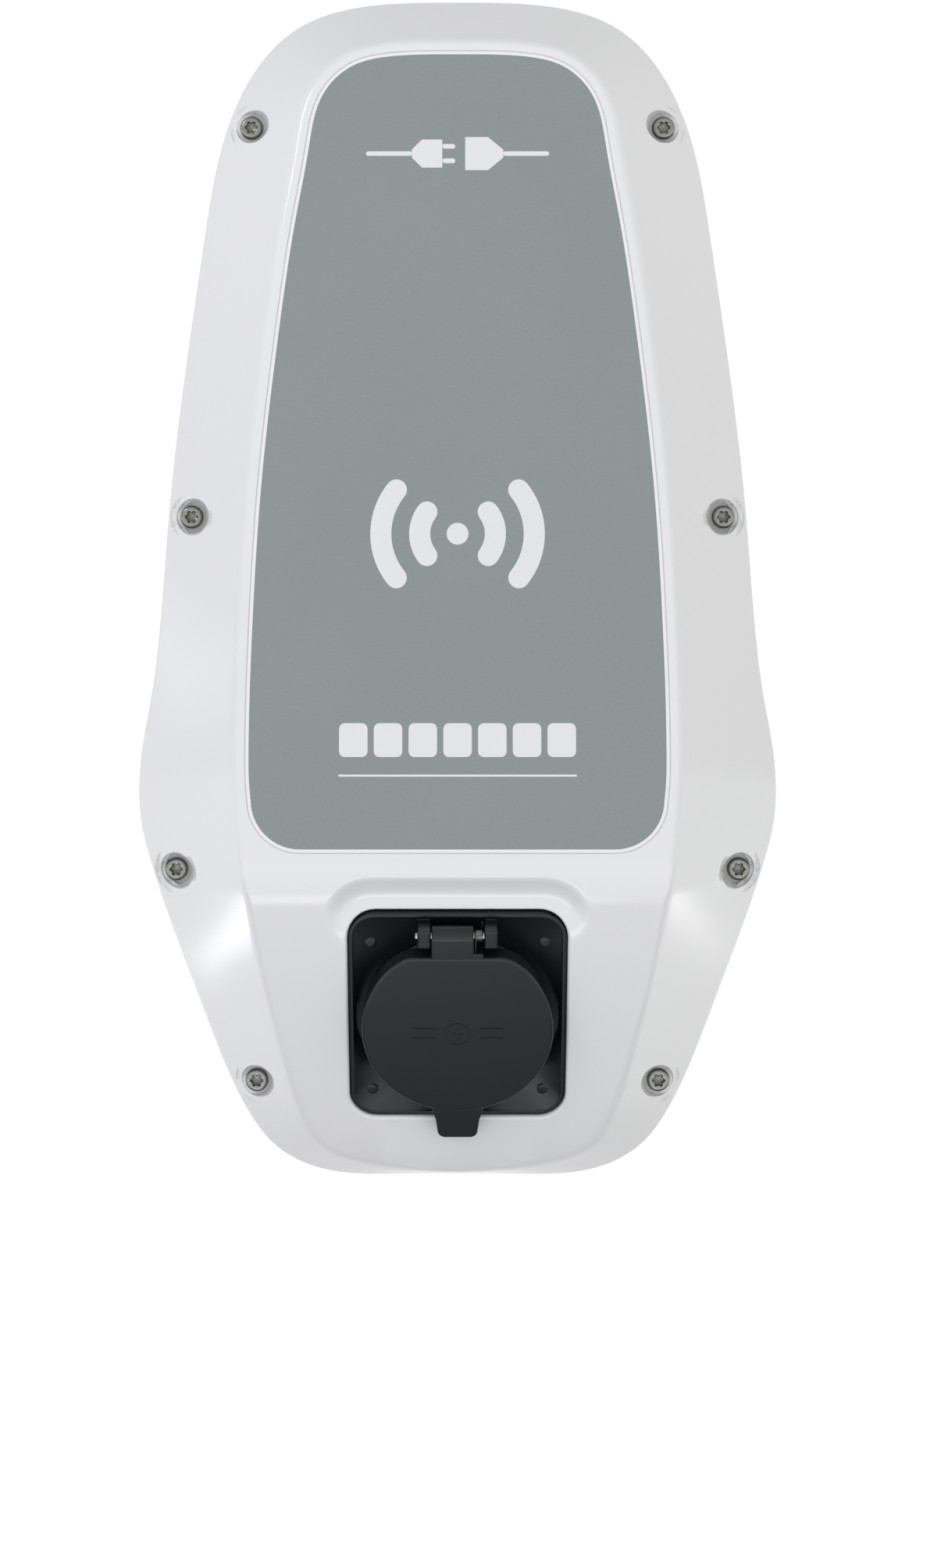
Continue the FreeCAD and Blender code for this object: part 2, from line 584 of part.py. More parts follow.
def flange_corners():
    reach = CUP_FLANGE - 5.0
    return [(a * reach, b * reach + LID_CENTRE) for b in (1, -1) for a in (-1, 1)]


FRAME_BACK = -COVER_WALL - GASKET_THICK - FRAME_PLATE


def socket_gasket():
    outer = plate_slab(1.0, -COVER_WALL - GASKET_THICK, -COVER_WALL)
    inner = rounded_slab(WINDOW_WIDTH, WINDOW_LENGTH, WINDOW_CORNER, -30.0, 30.0)
    holes = [rod(M3_SHANK / 2 + 0.2, (x, y, -30), (x, y, 0)) for x, y in plate_corners()]
    return at_socket(cut_all(outer, [inner] + holes))


def hinge_pin():
    reach = BARREL_HALF + LUG_GAP + LUG_WIDTH
    pin = rod(PIN_R, (-reach - 0.8, HINGE_UP, HINGE_OUT), (reach, HINGE_UP, HINGE_OUT))
    return at_socket(pin)


def socket_lid():
    disc = rod(LID_RADIUS, (0, LID_CENTRE, LID_SKIRT_END), (0, LID_CENTRE, LID_FACE))
    disc = disc.common(box(-FAR, FAR, -FAR, LID_FLAT_TOP, -FAR, FAR))
    upright = [e for e in disc.Edges if e.BoundBox.ZLength > LID_FACE - LID_SKIRT_END - 0.1
               and abs(e.BoundBox.YMax - LID_FLAT_TOP) < 0.1]
    disc = disc.makeFillet(8.0, upright)
    disc = disc.cut(rod(LID_RADIUS - LID_SKIRT, (0, LID_CENTRE, -10), (0, LID_CENTRE, LID_UNDER)).common(
        box(-FAR, FAR, -FAR, LID_FLAT_TOP - LID_SKIRT, -FAR, FAR)))
    plate = box(-BARREL_HALF, BARREL_HALF, LID_FLAT_TOP - 3, HINGE_UP, LID_UNDER, LID_FACE)
    plate = plate.cut(rod(BARREL_R + 0.3, (-20, HINGE_UP, HINGE_OUT), (20, HINGE_UP, HINGE_OUT)).common(
        box(-20, 20, -FAR, FAR, -FAR, HINGE_OUT)))
    barrel = rod(BARREL_R, (-BARREL_HALF, HINGE_UP, HINGE_OUT), (BARREL_HALF, HINGE_UP, HINGE_OUT))
    tab_points = [Vector(-TAB_ROOT_HALF, -30, TAB_UNDER), Vector(TAB_ROOT_HALF, -30, TAB_UNDER),
                  Vector(TAB_ROOT_HALF, LID_CENTRE - LID_RADIUS, TAB_UNDER),
                  Vector(TAB_TIP_HALF, TAB_END, TAB_UNDER), Vector(-TAB_TIP_HALF, TAB_END, TAB_UNDER),
                  Vector(-TAB_ROOT_HALF, LID_CENTRE - LID_RADIUS, TAB_UNDER)]
    tab = Part.Face(Part.makePolygon(tab_points + tab_points[:1])).extrude(Vector(0, 0, TAB_FACE - TAB_UNDER))
    tip = [e for e in tab.Edges if e.BoundBox.ZLength > 1 and e.BoundBox.YMax < TAB_END + 0.1]
    tab = tab.makeFillet(3.0, tip)
    lid = fuse_all([disc, plate, barrel, tab])
    lid = lid.cut(rod(PIN_R + PIN_PLAY, (-30, HINGE_UP, HINGE_OUT), (30, HINGE_UP, HINGE_OUT)))
    slot = box(SPRING_SLOT, BARREL_HALF + 1, HINGE_UP - BARREL_R - 1.0, HINGE_UP + BARREL_R + 1, -5, LID_FACE + 1)
    return at_socket(lid.cut(slot))


def lid_seal():
    under = COLLAR_TOP + SEAL_GAP
    seal = tube(LID_RADIUS - LID_SKIRT, SEAL_INNER, (0, LID_CENTRE, under), (0, LID_CENTRE, LID_UNDER))
    return at_socket(seal.common(box(-FAR, FAR, -FAR, LID_FLAT_TOP - LID_SKIRT, -FAR, FAR)))


def lid_spring():
    """Torsion spring round the pin: a close-wound coil and two short legs in the slot of the lid."""
    mean = PIN_R + SPRING_WIRE_R + 0.3
    first = SPRING_SLOT + SPRING_WIRE_R + 0.3
    last = first + SPRING_TURNS * 2 * SPRING_WIRE_R
    coil = tube(mean + SPRING_WIRE_R, mean - SPRING_WIRE_R, (first - SPRING_WIRE_R, HINGE_UP, HINGE_OUT),
                (last, HINGE_UP, HINGE_OUT))
    frame_leg = rod(SPRING_WIRE_R, (first, HINGE_UP + mean, HINGE_OUT),
                    (first, HINGE_UP + mean, DISH_FLOOR + 2.6))
    lid_leg = rod(SPRING_WIRE_R, (last - SPRING_WIRE_R, HINGE_UP, HINGE_OUT + mean),
                  (last - SPRING_WIRE_R, HINGE_UP - 4.0, HINGE_OUT + mean))
    return at_socket(fuse_all([coil, frame_leg, lid_leg]))


# ---------------------------------------------------------------- socket body and contacts
def d_shape(radius, flat, low, high):
    return rod(radius, (0, 0, low), (0, 0, high)).common(box(-FAR, FAR, -FAR, flat, low, high))


def in_cup(shape):
    """Cup parts are made round the plug axis, which is below the window centre."""
    moved = shape.copy()
    moved.translate(Vector(0, LID_CENTRE, 0))
    return at_socket(moved)


def socket_body():
    """Cup for the plug, open at the back, where a ledge carries the contact base."""
    flange = rounded_slab(2 * CUP_FLANGE, 2 * CUP_FLANGE, 10.0, FRAME_BACK - 3, FRAME_BACK)
    cup = rod(CUP_OUTER, (0, 0, CUP_FLOOR - CUP_WALL), (0, 0, FRAME_BACK))
    tools = [d_shape(CUP_INNER, CUP_FLAT, CUP_FLOOR, FRAME_BACK + 1)]
    tools.append(rod(BASE_OPENING_R, (0, 0, CUP_FLOOR - CUP_WALL - 1), (0, 0, CUP_FLOOR + 1)))
    tools.append(box(-BOLT_HALF - SLIDE_PLAY, BOLT_HALF + SLIDE_PLAY, 10.0, 60.0,
                     BOLT_BACK - SLIDE_PLAY, BOLT_FRONT + SLIDE_PLAY))
    tools += [rod(M3_SHANK / 2 + 0.2, (x, y - LID_CENTRE, FRAME_BACK - 5), (x, y - LID_CENTRE, FRAME_BACK + 1))
              for x, y in flange_corners()]
    return in_cup(cut_all(flange.fuse(cup), tools))


def lock_bracket():
    """Saddle on the cup that carries the lock housing; the bolt passes through it."""
    top = LOCK_BASE - LID_CENTRE
    saddle = box(LOCK_LEFT - LOCK_EAR, LOCK_RIGHT + LOCK_EAR, 20.0, top, LOCK_BACK, LOCK_FRONT)
    under = box(CUP_OUTER - 12.0, LOCK_RIGHT + LOCK_EAR + 1, 0, top - 5.0, LOCK_BACK - 1, LOCK_FRONT + 1)
    tools = [under, rod(CUP_OUTER + SLIDE_PLAY, (0, 0, LOCK_BACK - 1), (0, 0, LOCK_FRONT + 1))]
    tools.append(box(-BOLT_HALF - SLIDE_PLAY, BOLT_HALF + SLIDE_PLAY, 10.0, 60.0,
                     BOLT_BACK - SLIDE_PLAY, BOLT_FRONT + SLIDE_PLAY))
    tools += [rod(M3_SHANK / 2, (x, top - 4.5, z), (x, top + 1, z)) for x, z in lock_ears()]
    return in_cup(cut_all(saddle, tools))


def carrier_bores(low, high):
    """Bores for the contact sleeves and, in front of them, for the pins of the plug."""
    bores = []
    for pins, sleeve, bore in ((POWER_PINS, POWER_SLEEVE_R, POWER_BORE_R + 0.4),
                               (PILOT_PINS, PILOT_SLEEVE_R, PILOT_BORE_R + 0.3)):
        bores += [rod(sleeve, (x, y, low - 1), (x, y, min(high + 1, CARRIER_FACE - 3))) for x, y in pins]
        bores += [rod(bore, (x, y, low), (x, y, high + 1)) for x, y in pins]
    return bores


def contact_carrier():
    body = d_shape(CARRIER_R, CARRIER_FLAT, CUP_FLOOR + BASE_THICK, CARRIER_FACE)
    return in_cup(cut_all(body, carrier_bores(CUP_FLOOR + BASE_THICK, CARRIER_FACE)))


def contact_base():
    """Plate on the ledge at the back of the cup; it holds the contacts and closes the cup."""
    body = d_shape(CUP_INNER - 0.2, CUP_FLAT - 0.2, CUP_FLOOR, CUP_FLOOR + BASE_THICK)
    return in_cup(cut_all(body, carrier_bores(CUP_FLOOR, CUP_FLOOR + BASE_THICK)))


def contact(x, y, outer, bore):
    sleeve = rod(outer - THREAD_PLAY, (x, y, CUP_FLOOR - CUP_WALL - 1), (x, y, CARRIER_FACE - 3))
    tail = rod(outer * 0.7, (x, y, CONTACT_TAIL), (x, y, CUP_FLOOR - CUP_WALL))
    return sleeve.fuse(tail).cut(rod(bore, (x, y, CUP_FLOOR + 4), (x, y, CARRIER_FACE)))


def power_contacts():
    return group([in_cup(contact(x, y, POWER_SLEEVE_R, POWER_BORE_R)) for x, y in POWER_PINS])


def pilot_contacts():
    return group([in_cup(contact(x, y, PILOT_SLEEVE_R, PILOT_BORE_R)) for x, y in PILOT_PINS])


def back_screw(length):
    """M3 screw that is driven from behind the socket plane."""
    screw = pan_screw(length, M3_SHANK - 2 * THREAD_PLAY, M3_HEAD_D, M3_HEAD_H, 2.8)
    screw.rotate(Vector(0, 0, 0), Vector(1, 0, 0), 180)
    return screw


def frame_screws():
    screw = back_screw(FRAME_PLATE + GASKET_THICK + COVER_WALL - COVER_SKIN - 0.2)
    screws = []
    for x, y in plate_corners():
        one = screw.copy()
        one.translate(Vector(x, y, FRAME_BACK))
        screws.append(at_socket(one))
    return group(screws)


def body_screws():
    screw = back_screw(3.0 + 3.6)
    screws = []
    for x, y in flange_corners():
        one = screw.copy()
        one.translate(Vector(x, y, FRAME_BACK - 3.0))
        screws.append(at_socket(one))
    return group(screws)


# ---------------------------------------------------------------- plug lock
GEAR_R = GEAR_MODULE * GEAR_TEETH / 2
PINION_R = GEAR_MODULE * PINION_TEETH / 2
GEAR_X = BOLT_HALF + GEAR_R
PINION_X = GEAR_X + GEAR_R + PINION_R
PRESSURE = math.radians(20)
RACK_TEETH = 8
RACK_HALF = (RACK_TEETH + 1) / 2 * math.pi * GEAR_MODULE


def gear(teeth, first_tooth, low, high):
    """Involute spur gear about the Z axis, with one tooth centred on an angle in degrees."""
    pitch = GEAR_MODULE * teeth / 2
    base, tip, root = pitch * math.cos(PRESSURE), pitch + GEAR_MODULE, pitch - 1.25 * GEAR_MODULE
    half_tooth = math.pi / (2 * teeth) - BACKLASH / (2 * pitch)
    involute = math.tan(PRESSURE) - PRESSURE
    steps = 4
    start = max(base, root)
    flank = []
    for i in range(steps + 1):
        r = start + (tip - start) * i / steps
        at = math.acos(min(1.0, base / r))
        flank.append((r, half_tooth + involute - (math.tan(at) - at)))
    points = []
    for k in range(teeth):
        middle = math.radians(first_tooth) + 2 * math.pi * k / teeth
        side = [(root, flank[0][1])] + flank
        polar = [(r, middle - a) for r, a in side] + [(r, middle + a) for r, a in reversed(side)]
        points += [Vector(r * math.cos(t), r * math.sin(t), low) for r, t in polar]
    return Part.Face(Part.makePolygon(points + points[:1])).extrude(Vector(0, 0, high - low))


def lock_bolt():
    """Square bolt with a rack on its right side; a tooth space faces the gear's centre."""
    pitch = math.pi * GEAR_MODULE
    top = GEAR_UP + RACK_HALF
    bar = box(-BOLT_HALF, BOLT_HALF - 1.25 * GEAR_MODULE, BOLT_TIP, top, BOLT_BACK, BOLT_FRONT)
    lower = box(-BOLT_HALF, BOLT_HALF, BOLT_TIP, GEAR_UP - RACK_HALF, BOLT_BACK, BOLT_FRONT)
    half = pitch / 4 - BACKLASH / 4
    teeth = []
    for k in range(RACK_TEETH):
        middle = GEAR_UP + (k + 0.5 - RACK_TEETH / 2) * pitch
        wide = half + 1.25 * GEAR_MODULE * math.tan(PRESSURE)
        thin = half - GEAR_MODULE * math.tan(PRESSURE)
        x0, x1 = BOLT_HALF - 1.25 * GEAR_MODULE - 0.1, BOLT_HALF + GEAR_MODULE
        outline = [Vector(x0, middle - wide, BOLT_BACK), Vector(x1, middle - thin, BOLT_BACK),
                   Vector(x1, middle + thin, BOLT_BACK), Vector(x0, middle + wide, BOLT_BACK)]
        face = Part.Face(Part.makePolygon(outline + outline[:1]))
        teeth.append(face.extrude(Vector(0, 0, BOLT_FRONT - BOLT_BACK)))
    return at_socket(fuse_all([bar, lower] + teeth))


def lock_gear():
    wheel = gear(GEAR_TEETH, 0.0, GEAR_BACK, BOLT_FRONT)
    shaft = rod(SHAFT_R, (0, 0, GEAR_BACK - 5), (0, 0, LOCK_FRONT))
    wheel = wheel.fuse(shaft)
    wheel.translate(Vector(GEAR_X, GEAR_UP, 0))
    return at_socket(wheel)


def motor_pinion():
    wheel = gear(PINION_TEETH, 180.0 / PINION_TEETH, GEAR_BACK, BOLT_FRONT)
    wheel = wheel.fuse(rod(1.0, (0, 0, MOTOR_BACK + 8), (0, 0, GEAR_BACK)))
    wheel.translate(Vector(PINION_X, GEAR_UP, 0))
    return at_socket(wheel)


def lock_motor():
    motor = tube(MOTOR_R, 1.0 + PIN_PLAY, (PINION_X, GEAR_UP, MOTOR_BACK + 6), (PINION_X, GEAR_UP, MOTOR_FRONT))
    rear = rod(MOTOR_R, (PINION_X, GEAR_UP, MOTOR_BACK), (PINION_X, GEAR_UP, MOTOR_BACK + 6))
    return at_socket(motor.fuse(rear))


def lock_ears():
    """Screw places of the lock on the saddle: x and z in the socket frame."""
    middle = (LOCK_BACK + LOCK_FRONT) / 2
    return [(LOCK_LEFT - LOCK_EAR / 2, middle), (LOCK_RIGHT + LOCK_EAR / 2, middle)]


def lock_cover_holes():
    return [(LOCK_LEFT + 3.0, LOCK_TOP - 3.0), (LOCK_RIGHT - 3.0, LOCK_TOP - 3.0),
            (LOCK_LEFT + 3.0, LOCK_BASE + 3.0), (LOCK_RIGHT - 3.0, LOCK_BASE + 3.0)]


def lock_housing():
    block = box(LOCK_LEFT, LOCK_RIGHT, LOCK_BASE, LOCK_TOP, LOCK_BACK, LOCK_FRONT)
    ears = box(LOCK_LEFT - LOCK_EAR, LOCK_RIGHT + LOCK_EAR, LOCK_BASE, LOCK_BASE + 3, LOCK_BACK, LOCK_FRONT)
    room_low = BOLT_BACK - SLIDE_PLAY
    tools = [box(-BOLT_HALF - SLIDE_PLAY, BOLT_HALF + SLIDE_PLAY, LOCK_BASE - 1, LOCK_TOP - LOCK_WALL,
                 room_low, LOCK_FRONT + 1)]
    tools.append(box(0.0, BOLT_HALF + GEAR_MODULE + 0.3, GEAR_UP - RACK_HALF - LOCK_TRAVEL - 0.5,
                     LOCK_TOP - LOCK_WALL, room_low, LOCK_FRONT + 1))
    tools.append(rod(GEAR_R + GEAR_MODULE + 0.7, (GEAR_X, GEAR_UP, room_low), (GEAR_X, GEAR_UP, LOCK_FRONT + 1)))
    tools.append(rod(PINION_R + GEAR_MODULE + 0.7, (PINION_X, GEAR_UP, MOTOR_FRONT), (PINION_X, GEAR_UP, 0)))
    tools.append(rod(MOTOR_R + 0.1, (PINION_X, GEAR_UP, MOTOR_BACK), (PINION_X, GEAR_UP, LOCK_FRONT + 1)))
    tools.append(rod(SHAFT_R + PIN_PLAY, (GEAR_X, GEAR_UP, GEAR_BACK - 5.2), (GEAR_X, GEAR_UP, 0)))
    tools += [rod(M3_SHANK / 2, (x, y, LOCK_FRONT - 8), (x, y, 0)) for x, y in lock_cover_holes()]
    tools += [rod(M3_SHANK / 2 + 0.2, (x, LOCK_BASE - 1, z), (x, LOCK_BASE + 5, z)) for x, z in lock_ears()]
    return at_socket(cut_all(block.fuse(ears), tools))


def lock_cover():
    plate = box(LOCK_LEFT, LOCK_RIGHT, LOCK_BASE, LOCK_TOP, LOCK_FRONT, LOCK_FRONT + LOCK_WALL)
    boss = tube(SHAFT_R + 1.5, SHAFT_R + PIN_PLAY,
                (GEAR_X, GEAR_UP, BOLT_FRONT + 0.2), (GEAR_X, GEAR_UP, LOCK_FRONT))
    tools = [rod(M3_SHANK / 2 + 0.2, (x, y, LOCK_FRONT - 1), (x, y, 0)) for x, y in lock_cover_holes()]
    return at_socket(cut_all(plate.fuse(boss), tools))


def lock_screws():
    """Four screws hold the lock's cover, and two hold the lock on its saddle."""
    screw = pan_screw(7.0, M3_SHANK - 2 * THREAD_PLAY, 4.8, 2.0, 2.6)
    screws = []
    for x, y in lock_cover_holes():
        one = screw.copy()
        one.translate(Vector(x, y, LOCK_FRONT + LOCK_WALL))
        screws.append(at_socket(one))
    for x, z in lock_ears():
        one = screw.copy()
        one.rotate(Vector(0, 0, 0), Vector(1, 0, 0), -90)
        one.translate(Vector(x, LOCK_BASE + 3, z))
        screws.append(at_socket(one))
    return group(screws)


# ---------------------------------------------------------------- plate, rail and modules
PLATE_TOP = PLATE_TOP_SHARE * HALF_H
PLATE_END = PLATE_BOTTOM_SHARE * HALF_H
RAIL_Z = PLATE_END + RAIL_ABOVE_PLATE_END
MODULE_BACK = -PLATE_FACE - 0.3
BOARD_TOP = PLATE_TOP - BOARD_BELOW_PLATE_TOP
BOARD_Y = -PLATE_FACE - BOARD_STANDOFF


def board_holes():
    x = BOARD_WIDTH / 2 - BOARD_HOLE_EDGE
    return [(a * x, BOARD_TOP - e) for e in (BOARD_HOLE_EDGE, BOARD_HEIGHT - BOARD_HOLE_EDGE) for a in (-1, 1)]


def mounting_plate():
    back = -PLATE_FACE + PLATE_THICK
    plate = box(-PLATE_WIDTH / 2, PLATE_WIDTH / 2, -PLATE_FACE, back, PLATE_END, PLATE_TOP)
    plate = plate.makeFillet(5.0, [e for e in plate.Edges if e.BoundBox.YLength > PLATE_THICK - 0.1])
    holes = [rod(M4_SHANK / 2 + 0.3, (x, 0, z), (x, -30, z)) for x, z in plate_holes()]
    holes += [rod(M3_SHANK / 2, (x, 0, z), (x, -30, z)) for x, z in board_holes()]
    return cut_all(plate, holes)


def plate_screws():
    screw = pan_screw(7.5, M4_SHANK - 2 * THREAD_PLAY, 7.6, 2.8, 4.0)
    return group([placed(screw, Vector(x, -PLATE_FACE, z), 0.0) for x, z in plate_holes()])


def din_rail():
    """Top-hat rail: a channel with its web on the plate and two outward lips."""
    y0, y1 = -PLATE_FACE, -PLATE_FACE - RAIL_DEPTH
    web, lip = 27.0 / 2, RAIL_HEIGHT / 2
    t = RAIL_WALL
    half = [(y0, 0), (y0, web), (y1 + t, web), (y1 + t, lip),
            (y1, lip), (y1, web - t), (y0 - t, web - t), (y0 - t, 0)]
    full = half + [(y, -z) for y, z in reversed(half[1:-1])]
    points = [Vector(-RAIL_LENGTH / 2, y, RAIL_Z + z) for y, z in full]
    return Part.Face(Part.makePolygon(points + points[:1])).extrude(Vector(RAIL_LENGTH, 0, 0))


def rail_slot(x0, x1):
    y1 = -PLATE_FACE - RAIL_DEPTH
    lips = box(x0, x1, y1 - 0.2, y1 + RAIL_WALL + 0.2,
               RAIL_Z - RAIL_HEIGHT / 2 - 0.2, RAIL_Z + RAIL_HEIGHT / 2 + 0.2)
    web = box(x0, x1, y1 - 0.2, 0, RAIL_Z - 13.7, RAIL_Z + 13.7)
    return lips.fuse(web)


def module_block(x0, x1):
    """DIN module: stepped front, with the terminal rows lower than the middle."""
    front = MODULE_BACK - MODULE_DEPTH
    z0, z1 = RAIL_Z - MODULE_HEIGHT / 2, RAIL_Z + MODULE_HEIGHT / 2
    body = box(x0, x1, front + 15, MODULE_BACK, z0, z1)
    nose = box(x0, x1, front, front + 16, RAIL_Z - 22.5, RAIL_Z + 22.5)
    return body.fuse(nose).cut(rail_slot(x0 - 1, x1 + 1))


def terminal_bores(x0, x1, count):
    front = MODULE_BACK - MODULE_DEPTH
    pitch = (x1 - x0) / count
    tools = []
    for i in range(count):
        x = x0 + (i + 0.5) * pitch
        for side in (-1, 1):
            z = RAIL_Z + side * (MODULE_HEIGHT / 2 - 7)
            tools.append(rod(3.2, (x, front + 14, z), (x, front + 25, z)))
            end = RAIL_Z + side * (MODULE_HEIGHT / 2 + 1)
            tools.append(rod(3.0, (x, front + 32, end), (x, front + 32, end - side * 12)))
    return tools


CONTACTOR_RIGHT = CONTACTOR_LEFT + CONTACTOR_WIDTH
CONTACTOR_MID = CONTACTOR_LEFT + CONTACTOR_WIDTH / 2
MODULE_FRONT = MODULE_BACK - MODULE_DEPTH
ARMATURE_HALF_X = 14.0
ARMATURE_HALF_Z = 12.0
INDICATOR_HALF = 4.0


def contactor_housing():
    body = module_block(CONTACTOR_LEFT, CONTACTOR_RIGHT)
    chamber = box(CONTACTOR_MID - 17, CONTACTOR_MID + 17, MODULE_FRONT + 4, MODULE_BACK - 12,
                  RAIL_Z - 16, RAIL_Z + 16)
    window = box(CONTACTOR_MID - INDICATOR_HALF - SLIDE_PLAY, CONTACTOR_MID + INDICATOR_HALF + SLIDE_PLAY,
                 MODULE_FRONT - 1, MODULE_FRONT + 5,
                 RAIL_Z - INDICATOR_HALF - SLIDE_PLAY, RAIL_Z + INDICATOR_HALF + SLIDE_PLAY)
    return cut_all(body, [chamber, window] + terminal_bores(CONTACTOR_LEFT, CONTACTOR_RIGHT, 4))


def contactor_coil():
    back = MODULE_BACK - 12
    bobbin = box(CONTACTOR_MID - 15, CONTACTOR_MID + 15, back - 20, back, RAIL_Z - 14, RAIL_Z + 14)
    core = box(CONTACTOR_MID - 5.3, CONTACTOR_MID + 5.3, back - 21, back - 3, RAIL_Z - 5.3, RAIL_Z + 5.3)
    return bobbin.cut(core)


def contactor_armature():
    """Moving iron with its plunger in the coil and the state indicator in the front."""
    back = MODULE_BACK - 12
    front = back - 20 - 0.4 - ARMATURE_TRAVEL
    head = box(CONTACTOR_MID - ARMATURE_HALF_X, CONTACTOR_MID + ARMATURE_HALF_X, front - 6, front,
               RAIL_Z - ARMATURE_HALF_Z, RAIL_Z + ARMATURE_HALF_Z)
    plunger = box(CONTACTOR_MID - 5, CONTACTOR_MID + 5, front - 1, back - 3.5 - ARMATURE_TRAVEL,
                  RAIL_Z - 5, RAIL_Z + 5)
    flag = box(CONTACTOR_MID - INDICATOR_HALF, CONTACTOR_MID + INDICATOR_HALF, MODULE_FRONT - 0.5, front - 5,
               RAIL_Z - INDICATOR_HALF, RAIL_Z + INDICATOR_HALF)
    return fuse_all([head, plunger, flag])


def fault_current_monitor():
    x0 = CONTACTOR_RIGHT + MODULE_GAP
    x1 = x0 + MONITOR_WIDTH
    body = module_block(x0, x1)
    key_x, key_z = (x0 + x1) / 2, RAIL_Z + 8
    test_key = rod(3.0, (key_x, MODULE_FRONT - 1.2, key_z), (key_x, MODULE_FRONT + 2, key_z))
    return cut_all(body, terminal_bores(x0, x1, 2)).fuse(test_key)


def terminal_blocks():
    x0 = CONTACTOR_RIGHT + 2 * MODULE_GAP + MONITOR_WIDTH
    blocks = []
    for i in range(5):
        a = x0 + i * TERMINAL_WIDTH
        b = a + TERMINAL_WIDTH - 0.1
        depth = MODULE_BACK - 44
        block = box(a, b, depth, MODULE_BACK, RAIL_Z - TERMINAL_HEIGHT / 2, RAIL_Z + TERMINAL_HEIGHT / 2)
        block = block.cut(rail_slot(a - 1, b + 1))
        middle = (a + b) / 2
        for side in (-1, 1):
            z = RAIL_Z + side * (TERMINAL_HEIGHT / 2 - 8)
            block = block.cut(rod(2.6, (middle, depth - 1, z), (middle, depth + 10, z)))
            end = RAIL_Z + side * (TERMINAL_HEIGHT / 2 + 1)
            block = block.cut(rod(2.6, (middle, depth + 17, end), (middle, depth + 17, end - side * 13)))
        blocks.append(block)
    return group(blocks)


def earth_bar():
    z = PLATE_END + 5.5
    bar = box(10.0, 52.0, -PLATE_FACE - 9, -PLATE_FACE, z - 3.5, z + 3.5)
    holes = [rod(2.3, (15 + 8 * i, 0, z), (15 + 8 * i, -PLATE_FACE - 12, z)) for i in range(5)]
    return cut_all(bar, [h.common(box(0, 60, -40, -PLATE_FACE - 3, z - 9, z + 9)) for h in holes])


# ---------------------------------------------------------------- boards
def controller_board():
    board = box(-BOARD_WIDTH / 2, BOARD_WIDTH / 2, BOARD_Y - BOARD_THICK, BOARD_Y,
                BOARD_TOP - BOARD_HEIGHT, BOARD_TOP)
    return cut_all(board, [rod(M3_SHANK / 2 + 0.2, (x, 0, z), (x, -90, z)) for x, z in board_holes()])


def on_board(x, z, width, height, rise):
    """Box on the controller board, its centre at x, z under the board's top edge."""
    front = BOARD_Y - BOARD_THICK
    middle = BOARD_TOP - z
    return box(x - width / 2, x + width / 2, front - rise, front, middle - height / 2, middle + height / 2)


def board_components():
    front = BOARD_Y - BOARD_THICK
    relays = [on_board(-50 + 22 * i, 72, 18, 28, 16) for i in range(3)]
    plugs = [on_board(-44 + 30 * i, 92, 26, 10, 11) for i in range(2)]
    chips = [on_board(28, 50, 16, 16, 1.6), on_board(6, 42, 10, 12, 1.6), on_board(46, 72, 22, 20, 8)]
    cans = [rod(5, (52, front, BOARD_TOP - z), (52, front - 18, BOARD_TOP - z)) for z in (20, 34)]
    fuse = rod(3, (10, front - 3.2, BOARD_TOP - 14), (34, front - 3.2, BOARD_TOP - 14))
    return group(relays + plugs + chips + cans + [fuse])


def power_module():
    return on_board(-30, 26, 50, 34, 22)


SELECTOR_X = 28.0
SELECTOR_BELOW = 80.0


def selector_body():
    z = BOARD_TOP - SELECTOR_BELOW
    body = on_board(SELECTOR_X, SELECTOR_BELOW, 10, 10, 6.5)
    front = BOARD_Y - BOARD_THICK - 6.5
    return body.cut(rod(DIAL_R + PIN_PLAY, (SELECTOR_X, front - 1, z), (SELECTOR_X, front + 3.5, z)))


def current_selector():
    """Dial of the charging-current switch, with a screwdriver slot and a pointer notch."""
    z = BOARD_TOP - SELECTOR_BELOW
    front = BOARD_Y - BOARD_THICK - 6.5
    dial = rod(DIAL_R, (SELECTOR_X, front - 0.6, z), (SELECTOR_X, front + 3.4, z))
    slot = box(SELECTOR_X - 2.4, SELECTOR_X + 2.4, front - 1, front + 0.9, z - 0.5, z + 0.5)
    notch = box(SELECTOR_X + 1.6, SELECTOR_X + 4.0, front - 1, front + 0.9, z - 0.9, z + 0.9)
    return dial.cut(slot.fuse(notch))


def board_standoffs():
    posts = []
    for x, z in board_holes():
        corners = [math.radians(60 * i) for i in range(7)]
        hexagon = [Vector(x + 3.2 * math.cos(a), -PLATE_FACE, z + 3.2 * math.sin(a)) for a in corners]
        post = Part.Face(Part.makePolygon(hexagon)).extrude(Vector(0, -BOARD_STANDOFF, 0))
        stud = rod(M3_SHANK / 2 - THREAD_PLAY, (x, -PLATE_FACE + PLATE_THICK, z), (x, -PLATE_FACE - 1, z))
        bore = rod(M3_SHANK / 2, (x, -PLATE_FACE - 3, z), (x, -PLATE_FACE - BOARD_STANDOFF - 1, z))
        posts.append(post.fuse(stud).cut(bore))
    return group(posts)


def board_screws():
    screw = pan_screw(8.0, M3_SHANK - 2 * THREAD_PLAY, M3_HEAD_D, M3_HEAD_H, 2.8)
    return group([placed(screw, Vector(x, BOARD_Y - BOARD_THICK, z), 0.0) for x, z in board_holes()])


def antenna_holes():
    x, y = ANTENNA_WIDTH / 2 - 4.5, ANTENNA_HEIGHT / 2 - 4.5
    return [(a * x, b * y) for b in (1, -1) for a in (-1, 1)]


